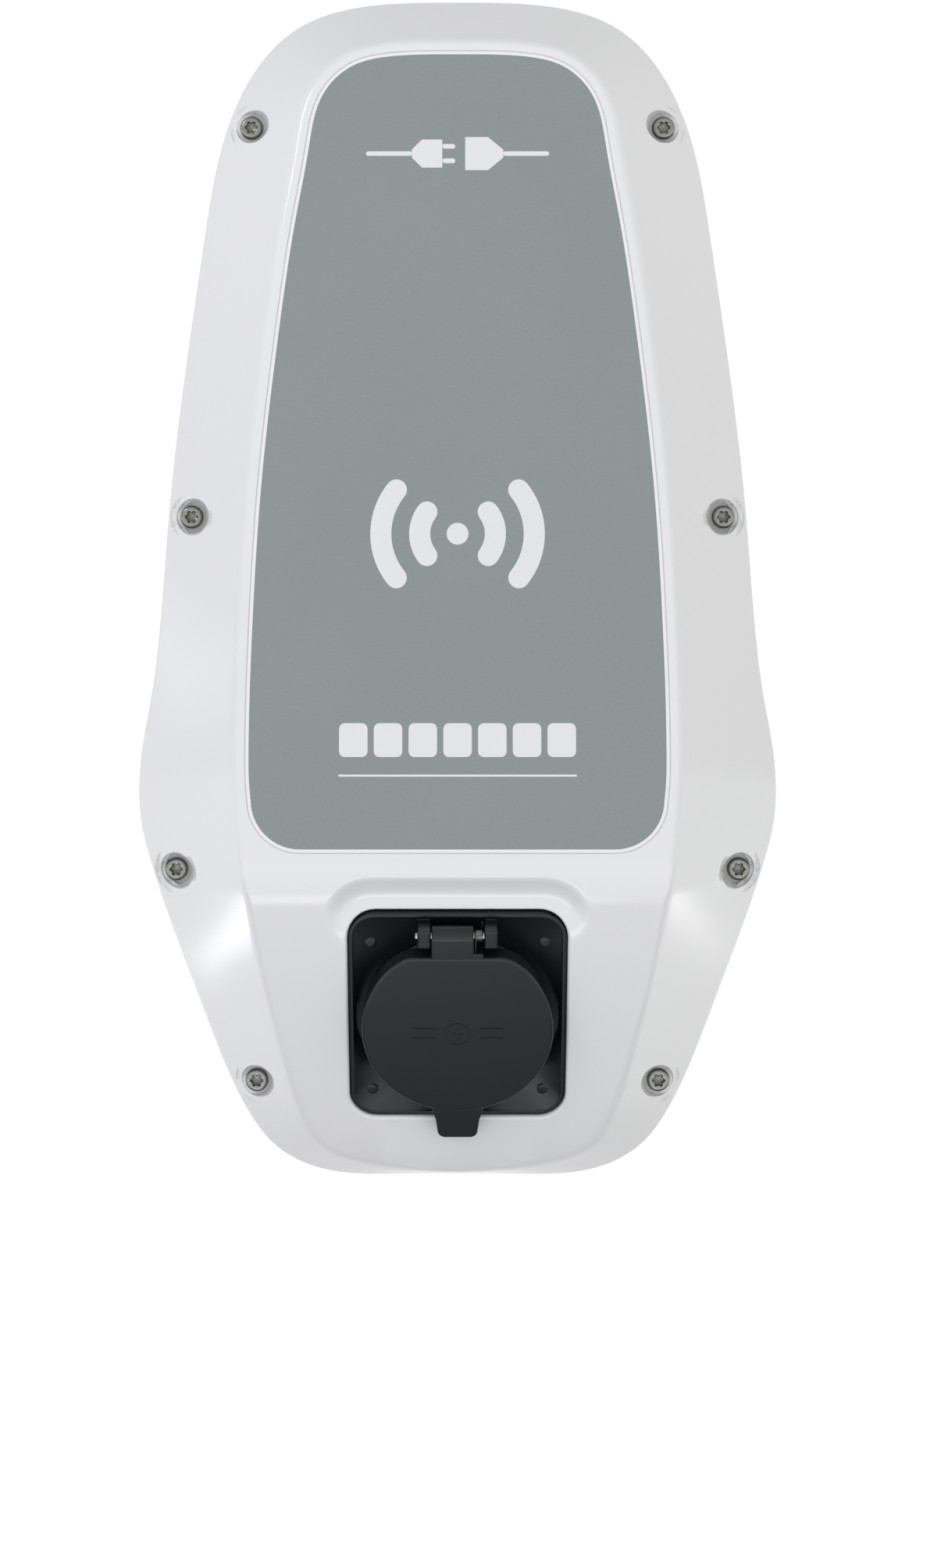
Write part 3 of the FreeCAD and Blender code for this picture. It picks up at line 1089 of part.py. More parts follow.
def antenna_board():
    low = -ANTENNA_STANDOFF - BOARD_THICK
    board = rounded_slab(ANTENNA_WIDTH, ANTENNA_HEIGHT, 3.0, low, -ANTENNA_STANDOFF)
    board = cut_all(board, [rod(M3_SHANK / 2 + 0.2, (x, y, -20), (x, y, 0)) for x, y in antenna_holes()])
    plug = box(-8, 8, -26, -18, low - 6, low)
    chip = box(-7, 7, -7, 7, low - 1.4, low)
    return at_antenna(fuse_all([board, plug, chip]))


def antenna_screws():
    screws = []
    for x, y in antenna_holes():
        one = back_screw(6.5)
        one.translate(Vector(x, y, -ANTENNA_STANDOFF - BOARD_THICK))
        screws.append(at_antenna(one))
    return group(screws)


PARTS = [
    rear_housing, housing_inserts, cable_grommet, vent_plug, wall_washers, cover_gasket, front_cover, front_film,
    cover_screws, socket_frame, socket_gasket, frame_screws, hinge_pin, socket_lid, lid_seal, lid_spring,
    socket_body, body_screws, contact_carrier, contact_base, power_contacts, pilot_contacts, lock_bolt, lock_gear,
    motor_pinion, lock_motor, lock_bracket, lock_housing, lock_cover, lock_screws, mounting_plate, plate_screws,
    din_rail, contactor_housing, contactor_coil, contactor_armature, fault_current_monitor, terminal_blocks,
    earth_bar, controller_board, board_components, power_module, selector_body, current_selector, board_standoffs,
    board_screws, antenna_board, antenna_screws,
]

os.makedirs("parts", exist_ok=True)
for make in PARTS:
    shape = make()
    shape.exportStep("parts/%s.step" % make.__name__)
    print("%-24s solids %d  volume %.1f  %s" % (make.__name__, len(shape.Solids), shape.Volume,
                                               "ok" if shape.isValid() else "INVALID"))
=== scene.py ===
"""Looks of a wall-mounted charging station with a Type 2 socket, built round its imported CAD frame."""
import math

import bmesh
import bpy
import numpy as np
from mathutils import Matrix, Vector
from mathutils.geometry import delaunay_2d_cdt


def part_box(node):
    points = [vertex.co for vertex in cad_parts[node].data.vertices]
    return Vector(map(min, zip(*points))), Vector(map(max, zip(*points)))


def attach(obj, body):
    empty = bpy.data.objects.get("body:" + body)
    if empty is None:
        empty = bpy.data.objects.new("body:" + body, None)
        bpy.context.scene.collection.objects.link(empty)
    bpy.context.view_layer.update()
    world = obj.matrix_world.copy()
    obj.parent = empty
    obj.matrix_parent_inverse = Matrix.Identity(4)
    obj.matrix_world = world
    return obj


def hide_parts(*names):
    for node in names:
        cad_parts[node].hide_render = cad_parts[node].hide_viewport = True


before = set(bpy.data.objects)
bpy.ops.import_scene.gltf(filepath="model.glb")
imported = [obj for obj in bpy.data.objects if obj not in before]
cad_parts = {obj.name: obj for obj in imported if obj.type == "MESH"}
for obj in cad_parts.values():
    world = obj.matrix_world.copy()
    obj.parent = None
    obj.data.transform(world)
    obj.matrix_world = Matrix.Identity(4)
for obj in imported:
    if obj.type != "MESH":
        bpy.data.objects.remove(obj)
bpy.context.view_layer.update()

# ---------------------------- camera
# A still camera straight in front of the station and level with its middle. The lens is shifted
# rather than tilted, so that the station stays upright in the upper part of the view.
CAMERA_STAND_OFF = 1.300  # from the wall
camera = bpy.data.objects.new("camera", bpy.data.cameras.new("camera"))
camera.data.sensor_width = 36.0
camera.data.lens = 70.1
camera.data.shift_x = 0.0105
camera.data.shift_y = -0.1248
camera.data.clip_start = 0.01
camera.location = (0, -CAMERA_STAND_OFF, 0)
camera.rotation_euler = (math.pi / 2, 0, 0)
bpy.context.scene.collection.objects.link(camera)
bpy.context.scene.camera = camera
bpy.context.scene.view_settings.view_transform = "Standard"

# ---------------------------- front cover
# One moulded shell of white polycarbonate: a flat front in two tilted planes, joined by a round
# brow, and flanks that fall from its crease to the rim. Eight screws in deep pockets hold it.
MM = 0.001
cover_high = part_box("front_cover")[1]
HALF_WIDTH = cover_high.x / MM
HALF_HEIGHT = cover_high.z / MM
SEAM_DEPTH = -cover_high.y / MM
RIM_DEPTH = SEAM_DEPTH + 3.0  # the straight skirt is 3 mm deep
BROW_DEPTH = 129.0  # where the two front planes would meet
BROW_Z = -0.475 * HALF_HEIGHT
BROW_RADIUS = 40.0
FLANK_RADIUS = 16.0  # the same fold where it runs out over the flanks
FILM_SLOPE = math.tan(math.radians(6))
SOCKET_TILT = math.radians(25)
SOCKET_SLOPE = math.tan(SOCKET_TILT)
CREASE_BLEND = 2.6
RIM_DROP = 0.7  # the flanks round off at the rim by this much
RIM_DROP_WIDTH = 0.9
COVER_WALL = 2.8
RULINGS = 620  # straight lines from rim to crease that make up the flanks
CHUNK = 4000  # points that are measured at a time

# Half outline from top to bottom, in shares of half width and half height: rim x, z, crease x, z.
OUTLINE = [
    (0.000, 1.000, 0.000, 0.909), (0.278, 0.994, 0.216, 0.905), (0.442, 0.972, 0.332, 0.889),
    (0.522, 0.948, 0.386, 0.870), (0.649, 0.871, 0.463, 0.811), (0.734, 0.764, 0.496, 0.727),
    (0.792, 0.604, 0.537, 0.601), (0.849, 0.391, 0.590, 0.391), (0.906, 0.124, 0.638, 0.130),
    (0.938, -0.089, 0.658, -0.085), (0.965, -0.196, 0.664, -0.202), (0.983, -0.249, 0.665, -0.269),
    (1.000, -0.356, 0.656, -0.357), (0.990, -0.409, 0.645, -0.418), (0.958, -0.475, 0.632, -0.475),
    (0.934, -0.516, 0.617, -0.529), (0.863, -0.623, 0.587, -0.634), (0.751, -0.783, 0.529, -0.775),
    (0.710, -0.836, 0.504, -0.828), (0.660, -0.889, 0.474, -0.874), (0.587, -0.943, 0.436, -0.917),
    (0.524, -0.969, 0.390, -0.944), (0.396, -0.994, 0.269, -0.969), (0.193, -1.000, 0.131, -0.982),
    (0.000, -1.000, 0.000, -0.9865),
]


def loop_spline(points, knots, length):
    """Closed smooth curve through the points, as a function of the place along it."""
    count = len(points)
    span = np.diff(np.append(knots, length))
    before = np.roll(span, 1)
    rise = (np.roll(points, -1, 0) - points) / span[:, None] ** 2
    system = np.zeros((count, count))
    for i in range(count):
        system[i, i - 1] += 1 / before[i]
        system[i, i] += 2 / before[i] + 2 / span[i]
        system[i, (i + 1) % count] += 1 / span[i]
    slopes = np.linalg.solve(system, 3 * (rise + np.roll(rise, 1, 0)))

    def at(place):
        place = np.mod(place, length)
        i = np.searchsorted(knots, place, side="right") - 1
        j = (i + 1) % count
        u = ((place - knots[i]) / span[i])[:, None]
        run = span[i][:, None]
        ends = points[i] * (1 + 2 * u) * (1 - u) ** 2 + points[j] * u * u * (3 - 2 * u)
        return ends + run * (slopes[i] * u * (1 - u) ** 2 - slopes[j] * u * u * (1 - u))
    return at


half = np.array(OUTLINE) * [HALF_WIDTH, HALF_HEIGHT, HALF_WIDTH, HALF_HEIGHT]
whole = np.vstack([half, half[-2:0:-1] * [-1, 1, -1, 1]])
steps = np.linalg.norm(np.roll(whole[:, :2], -1, 0) - whole[:, :2], axis=1)
outline_length = steps.sum()
knots = np.append(0, np.cumsum(steps)[:-1])
rim_at = loop_spline(whole[:, :2], knots, outline_length)
crease_at = loop_spline(whole[:, 2:], knots, outline_length)
ruling_places = np.arange(RULINGS) * outline_length / RULINGS
rim = rim_at(ruling_places)
crease = crease_at(ruling_places)


def front_depth(z, radius=BROW_RADIUS):
    """How far the front stands from the wall at a height, with a round brow of the radius."""
    tilt = math.atan(FILM_SLOPE)
    tangent = radius * math.tan((tilt + SOCKET_TILT) / 2)
    top, bottom = BROW_Z + tangent * math.cos(tilt), BROW_Z - tangent * math.cos(SOCKET_TILT)
    centre_z = top - radius * math.sin(tilt)
    centre_depth = BROW_DEPTH - tangent * math.sin(tilt) - radius * math.cos(tilt)
    flat = BROW_DEPTH - np.where(z > BROW_Z, (z - BROW_Z) * FILM_SLOPE, (BROW_Z - z) * SOCKET_SLOPE)
    brow = centre_depth + np.sqrt(np.clip(radius ** 2 - (z - centre_z) ** 2, 0, None))
    return np.where((z > bottom) & (z < top), brow, flat)


def cross(a, b):
    return a[:, 0] * b[:, 1] - a[:, 1] * b[:, 0]


def chunks(points):
    """Slices that cover the points a few thousand at a time."""
    return [slice(first, first + CHUNK) for first in range(0, len(points), CHUNK)]


def nearest_ruling(points):
    """Place of the ruling, a straight line from rim to crease, that passes nearest to each point."""
    across = crease - rim
    found = np.empty(len(points))
    for part in chunks(points):
        off = points[part, None] - rim[None]
        share = np.clip((off * across).sum(2) / (across ** 2).sum(1), -0.05, 1.35)
        gap = ((off - share[..., None] * across) ** 2).sum(2)
        found[part] = ruling_places[gap.argmin(1)]
    return found


def flank(points, place):
    """Depth of the ruled flank at points (x, z), and the distance from the rim."""
    step = 0.01
    for _ in range(4):
        start, end = rim_at(place), crease_at(place)
        off = cross(end - start, points - start)
        next_start, next_end = rim_at(place + step), crease_at(place + step)
        change = cross(next_end - next_start, points - next_start) - off
        move = off * step / np.where(np.abs(change) < 1e-9, 1e-9, change)
        place = place - np.clip(move, -4, 4)
    across = end - start
    width = np.linalg.norm(across, axis=1)
    share = ((points - start) * across).sum(1) / width ** 2
    return RIM_DEPTH + share * (front_depth(end[:, 1], FLANK_RADIUS) - RIM_DEPTH), share * width


def soft_min(a, b, blend):
    """The lesser of two values, eased where they are within the blend of each other."""
    gap = np.clip(blend - np.abs(a - b), 0, None) / blend
    return np.minimum(a, b) - gap ** 2 * blend / 4


def inside_distance(points, loop):
    """Distance of each point from a closed outline, positive inside it."""
    ends = np.roll(loop, -1, 0)
    along = ends - loop
    result = np.empty(len(points))
    for part in chunks(points):
        p = points[part]
        off = p[:, None] - loop[None]
        share = np.clip((off * along).sum(2) / (along ** 2).sum(1), 0, 1)
        gap = np.sqrt(((off - share[..., None] * along) ** 2).sum(2).min(1))
        spans = (loop[None, :, 1] > p[:, None, 1]) != (ends[None, :, 1] > p[:, None, 1])
        rise = np.where(along[:, 1] == 0, 1e-9, along[:, 1])
        left = loop[:, 0] + (p[:, None, 1] - loop[:, 1]) * along[:, 0] / rise > p[:, None, 0]
        inside = (spans & left).sum(1) % 2 == 1
        result[part] = np.where(inside, gap, -gap)
    return result


def inset_loop(loop, distance):
    """Closed outline moved inwards, square to itself; it runs clockwise from the top."""
    along = np.roll(loop, -1, 0) - np.roll(loop, 1, 0)
    along /= np.linalg.norm(along, axis=1)[:, None]
    return loop + distance * np.column_stack([along[:, 1], -along[:, 0]])


def bearings(turn):
    """Unit vectors in a plane, anticlockwise from the right."""
    return np.column_stack([np.cos(turn), np.sin(turn)])


# The front film lies in a shallow seat that follows the crease and ends above the brow.
FILM_BORDER = 4.3
FILM_BOTTOM = BROW_Z + 11.5
FILM_CORNER = 20.3
FILM_SEAT = 0.6  # depth of the seat
FILM_GAP = 0.4
SEAT_WALL = 0.25  # how wide its steep edge is in plan


def film_outline(grow):
    """Outline of the film, grown outwards, clockwise from the top centre."""
    bottom, corner = FILM_BOTTOM - grow, FILM_CORNER + grow
    side = inset_loop(crease, FILM_BORDER - grow)
    inner = inset_loop(crease, FILM_BORDER + FILM_CORNER)
    right = side[(side[:, 0] > 0.5) & (side[:, 1] > bottom + corner)]
    centre_z = bottom + corner
    below = inner[(inner[:, 0] > 0) & (inner[:, 1] < centre_z + 15) & (inner[:, 1] > centre_z - 15)]
    centre_x = np.interp(-centre_z, -below[:, 1], below[:, 0])
    turn = np.radians(np.linspace(0, -90, 14))
    arc = (centre_x, centre_z) + corner * bearings(turn)
    flat = np.column_stack([np.linspace(centre_x, 0, 20)[1:-1], np.full(18, bottom)])
    right = np.vstack([right, arc, flat])
    return np.vstack([[[0, side[:, 1].max()]], right, [[0, bottom]], right[::-1] * [-1, 1]])


# A scooped recess above the socket leaves room for the lid's knuckle as it swings up.
RECESS_FOOT = BROW_Z - 21.5
RECESS_SLOPE = math.tan(math.radians(8))
RECESS_HALF = 48.0
RECESS_TOP = 18.0
RECESS_CORNER = 15.0
RECESS_BLEND = 1.6
RECESS_EASE = 3.0  # how gently its wall rises from the floor


def recess_distance(points):
    """Distance outside the recess floor's outline, which is open at the bottom."""
    x = np.abs(points[:, 0]) - (RECESS_HALF - RECESS_CORNER)
    z = points[:, 1] - (RECESS_FOOT + RECESS_TOP - RECESS_CORNER)
    out = np.hypot(np.clip(x, 0, None), np.clip(z, 0, None))
    return out + np.minimum(np.maximum(x, z), 0) - RECESS_CORNER


# Screws stand 10 mm inside the rim, each on the floor of a round pocket.
SCREW_INSET = 10.0
SCREW_LEVELS = (0.781, 0.121, -0.476, -0.834)
POCKET_RADIUS = 6.0
POCKET_FLOOR = SEAM_DEPTH + 8.5
POCKET_DRAFT = 9.0  # steepness of its wall
POCKET_BLEND = 2.2
POCKET_REACH = 12.0  # from its middle, beyond which it changes nothing
screw_line = inset_loop(rim, SCREW_INSET)
right_line = screw_line[screw_line[:, 0] > 0]
right_line = right_line[np.argsort(right_line[:, 1])]
screw_places = np.array([(side * np.interp(level * HALF_HEIGHT, right_line[:, 1], right_line[:, 0]),
                          level * HALF_HEIGHT) for level in SCREW_LEVELS for side in (-1, 1)])
film_seat = film_outline(FILM_GAP)


def cover_depth(points, place, on_flank):
    """Depth of the finished outer surface of the cover at points (x, z)."""
    front = front_depth(points[:, 1])
    side, from_rim = flank(points, place)
    side = side - RIM_DROP * np.clip(1 - from_rim / RIM_DROP_WIDTH, 0, 1) ** 2
    depth = np.where(on_flank, soft_min(side, front, CREASE_BLEND), front)
    floor = front_depth(np.array([RECESS_FOOT])) + (points[:, 1] - RECESS_FOOT) * RECESS_SLOPE
    outside = recess_distance(points)
    wall = (outside + np.sqrt(outside ** 2 + RECESS_EASE ** 2)) / 2
    depth = soft_min(depth, floor + wall, RECESS_BLEND)
    for centre in screw_places:
        radius = np.linalg.norm(points - centre, axis=1)
        pocket = POCKET_FLOOR + POCKET_DRAFT * np.clip(radius - POCKET_RADIUS, 0, None)
        depth = np.where(radius < POCKET_REACH, soft_min(depth, pocket, POCKET_BLEND), depth)
        depth = np.where(radius < POCKET_RADIUS - 0.2, POCKET_FLOOR, depth)
    wall = np.clip((inside_distance(points, film_seat) + 0.1) / SEAT_WALL, 0, 1)
    return depth - FILM_SEAT * wall * wall * (3 - 2 * wall)


# The socket window is cut square to the socket plane. In the socket's own frame x is to the
# right, v up along the plane and n out of it, with the origin in the middle of the window.
WINDOW_WIDTH = 85.6
WINDOW_LENGTH = 93.6
WINDOW_CORNER = 11.0
WINDOW_EDGE = 1.3  # radius of its outer edge
socket_z = BROW_Z - 55.1
socket_depth = BROW_DEPTH - (BROW_Z - socket_z) * SOCKET_SLOPE
UP_PLANE = np.array([0, -math.sin(SOCKET_TILT), math.cos(SOCKET_TILT)])
OUT_OF_PLANE = np.array([0, -math.cos(SOCKET_TILT), -math.sin(SOCKET_TILT)])


def socket_points(x, v, n):
    """World points, in millimetres, of places in the socket's own frame."""
    x, v, n = np.broadcast_arrays(np.asarray(x, float), v, n)
    origin = np.array([0, -socket_depth, socket_z])
    across = x[..., None] * [1, 0, 0]
    return origin + across + v[..., None] * UP_PLANE + n[..., None] * OUT_OF_PLANE


def rounded_rectangle(width, length, corner, side_points=14, arc_points=10):
    """Points (x, v) anticlockwise from the top of the right side; the same count for any size."""
    a, b = width / 2 - corner, length / 2 - corner
    centres = np.array([(a, b), (-a, b), (-a, -b), (a, -b)])
    points = []
    for turn, (centre, following) in enumerate(zip(centres, np.roll(centres, -1, 0))):
        angles = np.radians(90 * turn + np.linspace(0, 90, arc_points))
        arc = [centre + corner * np.array([math.cos(t), math.sin(t)]) for t in angles]
        points += arc
        points += [arc[-1] + share * (following - centre)
                   for share in np.linspace(0, 1, side_points)[1:-1]]
    return np.array(points)


def window_ring(grow):
    """Outline (x, v) of the socket window, grown outwards."""
    return rounded_rectangle(WINDOW_WIDTH + 2 * grow, WINDOW_LENGTH + 2 * grow, WINDOW_CORNER + grow)


def on_cover(x, v):
    """How far out of the socket plane the cover's surface is above places of the plane."""
    n = np.zeros(len(x))
    for _ in range(12):
        world = socket_points(x, v, n)
        flat = world[:, [0, 2]]
        gap = -world[:, 1] - cover_depth(flat, np.zeros(len(x)), np.zeros(len(x), bool))
        n = n + gap / OUT_OF_PLANE[1]
    return n


window_loop = window_ring(WINDOW_EDGE)
window_out = on_cover(*window_loop.T)
window_flat = socket_points(*window_loop.T, window_out)[:, [0, 2]]

# Points of the cover's surface, in plan: loops along the outline, round each feature, and rows
# over the brow. A constrained triangulation joins them, so every edge of a feature is in the mesh.
plan_points = []
plan_edges = []


def add_line(points, closed, keep=None):
    """Line of plan points and its edges; points that aren't kept are left out."""
    keep = np.ones(len(points), bool) if keep is None else keep
    numbers = np.where(keep, len(plan_points) + np.cumsum(keep) - 1, -1)
    plan_points.extend(points[keep])
    pairs = zip(numbers, np.roll(numbers, -1)) if closed else zip(numbers[:-1], numbers[1:])
    plan_edges.extend((int(a), int(b)) for a, b in pairs if a >= 0 and b >= 0)
    return numbers


def off_pockets(points, distance):
    """Which points are farther than the distance from every screw."""
    return np.min(np.linalg.norm(points[:, None] - screw_places, axis=2), axis=1) > distance


ruling_width = np.linalg.norm(crease - rim, axis=1)
narrow = np.clip(ruling_width / 12, 0.25, 1)
rim_numbers = add_line(rim, True)
rows = [0.3 * narrow, 0.9 * narrow]
rows += [ruling_width * share for share in (0.14, 0.27, 0.4, 0.53, 0.66, 0.79)]
rows += [ruling_width + step * narrow for step in (-3.6, -2.4, -1.6, -0.9, -0.3, 0.3, 0.9, 1.6, 2.4)]
for row in rows:
    line = rim + (crease - rim) * (row / ruling_width)[:, None]
    add_line(line, True, off_pockets(line, 9.4))
for grow in (1.1, 0.55, 0.42, 0.36, 0.3, 0.22, 0.0, -3.0):
    add_line(film_outline(grow), True)
window_numbers = add_line(window_flat, True)
for out in (0.8, 2.2, 4.0):
    x, v = window_ring(WINDOW_EDGE + out).T
    add_line(socket_points(x, v, on_cover(x, v))[:, [0, 2]], True)
quarter = bearings(np.radians(np.linspace(0, 90, 12)))
arc_centre = (RECESS_HALF - RECESS_CORNER, RECESS_FOOT + RECESS_TOP - RECESS_CORNER)
for out in np.arange(-6, 10, 1.0):
    arc = arc_centre + (RECESS_CORNER + out) * quarter
    upright = np.linspace(RECESS_FOOT - 3, arc[0, 1], 8)[:-1]
    right = np.vstack([np.column_stack([np.full(7, arc[0, 0]), upright]), arc])
    top = np.column_stack([np.linspace(arc[-1, 0], -arc[-1, 0], 20)[1:-1], np.full(18, arc[-1, 1])])
    line = np.vstack([right, top, right[::-1] * [-1, 1]])
    add_line(line, False, line[:, 1] > socket_z + 46)
for z in BROW_Z + np.arange(-24, 12, 1.5):
    line = np.column_stack([np.linspace(-82, 82, 60), np.full(60, z)])
    clear = (inside_distance(line, window_flat) < -5) & (inside_distance(line, crease) > 3)
    add_line(line, False, clear & (inside_distance(line, film_seat) < -0.9))
for centre in screw_places:
    for radius in (5.0, 5.8, 6.0, 6.08, 6.16, 6.25, 6.4, 6.6, 6.85, 7.15, 7.5, 8.0, 8.7):
        ring = centre + radius * bearings(np.radians(np.arange(0, 360, 6)))
        add_line(ring, True, inside_distance(ring, rim) > 0.95)
grid_x, grid_z = np.meshgrid(np.arange(-90, 91, 9.0), np.arange(-235, 225, 9.0))
grid = np.column_stack([grid_x.ravel(), grid_z.ravel()])
grid = grid[(inside_distance(grid, crease) > 5) & (inside_distance(grid, window_flat) < -6)]
plan_points.extend(grid[np.abs(inside_distance(grid, film_seat)) > 4])

plan, _, triangles, origins, _, _ = delaunay_2d_cdt(
    [Vector(p) for p in plan_points], plan_edges, [], 0, 1e-4)
plan = np.array([tuple(p) for p in plan])
triangles = np.array([tuple(t) for t in triangles])
middle = plan[triangles].mean(1)
kept = (inside_distance(middle, rim) > 0) & (inside_distance(middle, window_flat) < 0)
triangles = triangles[kept]
used = np.unique(triangles)
renumber = np.full(len(plan), -1)
renumber[used] = np.arange(len(used))
from_input = {old: int(renumber[new]) for new, olds in enumerate(origins) for old in olds}
plan, triangles = plan[used], renumber[triangles]
first, second, third = plan[triangles].transpose(1, 0, 2)
facing = cross(second - first, third - first)
triangles = np.where((facing < 0)[:, None], triangles[:, ::-1], triangles)
place = nearest_ruling(plan)
on_flank = inside_distance(plan, crease) < 6
depth = cover_depth(plan, place, on_flank)
REACH = 0.02  # to either side of a point, over which the slopes are measured
slopes = [(cover_depth(plan + shift, place, on_flank) - cover_depth(plan - shift, place, on_flank))
          / (2 * REACH) for shift in ([REACH, 0], [0, REACH])]
surface_normals = np.column_stack([-slopes[0], -np.ones(len(plan)), -slopes[1]])
surface = np.column_stack([plan[:, 0], -depth, plan[:, 1]])

# The skirt runs back from the rim to the seam, and the window's wall runs in from its rounded
# edge. Both hang on the surface's own border points.
rim_border = np.array([from_input[int(i)] for i in rim_numbers])
window_border = np.array([from_input[int(i)] for i in window_numbers])
cover_points = [surface]
cover_faces = [tuple(t) for t in triangles]


def add_strip(border, rings):
    """Rows of quads from the border of the surface through rings of as many points."""
    last = list(border)
    for ring in rings:
        first = sum(len(p) for p in cover_points)
        cover_points.append(ring)
        fresh = list(range(first, first + len(ring)))
        for i in range(len(ring)):
            j = (i + 1) % len(ring)
            cover_faces.append((last[i], last[j], fresh[j], fresh[i]))
        last = fresh


def rounding(radius, angles):
    """Inset and drop of a rounded edge at angles in degrees, from its side at 0 to its top at 90."""
    return [(radius * (1 - math.cos(t)), radius * (1 - math.sin(t))) for t in np.radians(angles)]


skirt = surface[rim_border]
add_strip(rim_border, [np.column_stack([skirt[:, 0], np.full(RULINGS, -d), skirt[:, 2]])
                       for d in (RIM_DEPTH - 1.2, SEAM_DEPTH)])
window_rings = [(window_ring(grow), window_out - drop)
                for drop, grow in rounding(WINDOW_EDGE, (22, 45, 67, 90))]
window_rings.append((window_ring(0), np.minimum(window_out - WINDOW_EDGE, -2.9) - 0.1))
add_strip(window_border, [socket_points(*ring.T, out) for ring, out in window_rings])


def face_normals(points, faces):
    """Area-weighted normal of each face, a triangle or a quad."""
    corners = np.array([list(f) + [f[-1]] * (4 - len(f)) for f in faces])
    p = points[corners]
    return np.cross(p[:, 2] - p[:, 0], p[:, 3] - p[:, 1]) / 2


def new_piece(name, data):
    """Object in the scene."""
    piece = bpy.data.objects.new(name, data)
    bpy.context.scene.collection.objects.link(piece)
    return piece


def closed_shell(name, points, faces, known_normals, wall):
    """Mesh of an open surface given a wall thickness, with smooth normals and crisp borders."""
    weights = face_normals(points, faces)
    normals = np.zeros_like(points)
    for face, weight in zip(faces, weights):
        for corner in face:
            normals[corner] += weight
    normals[:len(known_normals)] = known_normals
    normals /= np.maximum(np.linalg.norm(normals, axis=1), 1e-12)[:, None]
    count = len(points)
    every = np.vstack([points, points - normals * wall])
    border = dict.fromkeys((a, b) for face in faces for a, b in zip(face, face[1:] + face[:1]))
    shell = [tuple(f) for f in faces] + [tuple(i + count for i in reversed(f)) for f in faces]
    shell += [(b, a, a + count, b + count) for a, b in border if (b, a) not in border]
    mesh = bpy.data.meshes.new(name)
    mesh.from_pydata((every * MM).tolist(), [], shell)
    mesh.shade_smooth()
    both = np.vstack([normals, -normals])
    flat = face_normals(every, shell)
    flat /= np.maximum(np.linalg.norm(flat, axis=1), 1e-12)[:, None]
    loops = []
    for face, straight in zip(shell, flat):
        loops += [both[i] if both[i] @ straight > 0.6 else straight for i in face]
    mesh.normals_split_custom_set(loops)
    return new_piece(name, mesh)


cover_faces = [tuple(int(i) for i in face) for face in cover_faces]
cover_piece = closed_shell("cover_shell", np.vstack(cover_points), cover_faces, surface_normals,
                           COVER_WALL)


def linear(code):
    """Linear colour of an sRGB hex code."""
    parts = [int(code[i:i + 2], 16) / 255 for i in (0, 2, 4)]
    return [c / 12.92 if c <= 0.04045 else ((c + 0.055) / 1.055) ** 2.4 for c in parts] + [1.0]


def drive(tree, node, settings):
    """Sets a node's attributes and sockets; a socket takes a value or what another node gives."""
    for name, value in settings.items():
        if isinstance(value, bpy.types.NodeSocket):
            tree.links.new(value, node.inputs[name])
        elif isinstance(name, str) and hasattr(node, name):
            setattr(node, name, value)
        else:
            node.inputs[name].default_value = value


def add_node(tree, kind, settings=()):
    """New shader node with its settings."""
    node = tree.nodes.new("ShaderNode" + kind)
    drive(tree, node, dict(settings))
    return node


def combined(tree, operation, *sources):
    """Sum, product or the like of values and of what other nodes give."""
    return add_node(tree, "Math", {"operation": operation, **dict(enumerate(sources))}).outputs[0]


def noise(tree, place, scale, detail):
    """Cloudy pattern, with the scale in waves per metre."""
    settings = {"Vector": place, "Scale": scale, "Detail": detail}
    return add_node(tree, "TexNoise", settings).outputs["Fac"]


def remap(tree, source, low, high, start=0.0, end=1.0):
    """Value that runs from low to high while the source runs from start to end."""
    settings = {"Value": source, "From Min": start, "From Max": end, "To Min": low, "To Max": high}
    return add_node(tree, "MapRange", settings).outputs[0]


def mixed(tree, low, high, share):
    """Colour between two sRGB hex codes."""
    settings = {"data_type": "RGBA", 0: share, 6: linear(low), 7: linear(high)}
    return add_node(tree, "Mix", settings).outputs[2]


def relief_of(tree, height, strength, distance):
    """Normal of a surface with a fine relief; the distance is in millimetres."""
    settings = {"Height": height, "Strength": strength, "Distance": distance * MM}
    return add_node(tree, "Bump", settings).outputs[0]


def new_finish(name):
    """Empty material with its surface shader, and the piece's own coordinates in metres."""
    finish = bpy.data.materials.new(name)
    finish.use_nodes = True
    tree = finish.node_tree
    shader = tree.nodes["Principled BSDF"]
    place = add_node(tree, "TexCoord").outputs["Object"]
    return finish, tree, shader, place


def moulded(name, shade, dark, roughness, grain, relief, sheen=0.5, index=1.5):
    """Injection-moulded plastic. Grain is the size in mm of the mould's texture and relief its depth.

    Broad faint clouds come from the flow of the melt, and the spark-eroded grain breaks up gloss.
    """
    finish, tree, shader, place = new_finish(name)
    texture = noise(tree, place, 1 / (grain * MM), 2.0)
    drive(tree, shader, {
        "Base Color": mixed(tree, shade, dark, noise(tree, place, 9.0, 3.0)),
        "Roughness": remap(tree, texture, roughness * 0.9, roughness * 1.1),
        "Normal": relief_of(tree, texture, 0.6, relief),
        "IOR": index, "Specular IOR Level": sheen})
    return finish


# Polycarbonate from a polished mould: bright cool white with soft-edged highlights.
white_polycarbonate = moulded("white_polycarbonate", "E6E6E8", "E2E3E5", 0.16, 1.6, 0.003, index=1.58)
cover_piece.data.materials.append(white_polycarbonate)
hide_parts("front_cover")
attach(cover_piece, "housing")

# ---------------------------- front film and its prints
# Half a millimetre of polycarbonate film, printed grey from behind up to a clear white border.
# The signs are white ink: a contactless mark, a plug and socket, and a charge gauge.
FILM_THICK = 0.5
FILM_SUNK = 0.1
FILM_BREAK = 0.12  # width of its broken edge
PRINT_BORDER = 1.25
INK = 0.03  # thickness of one coat


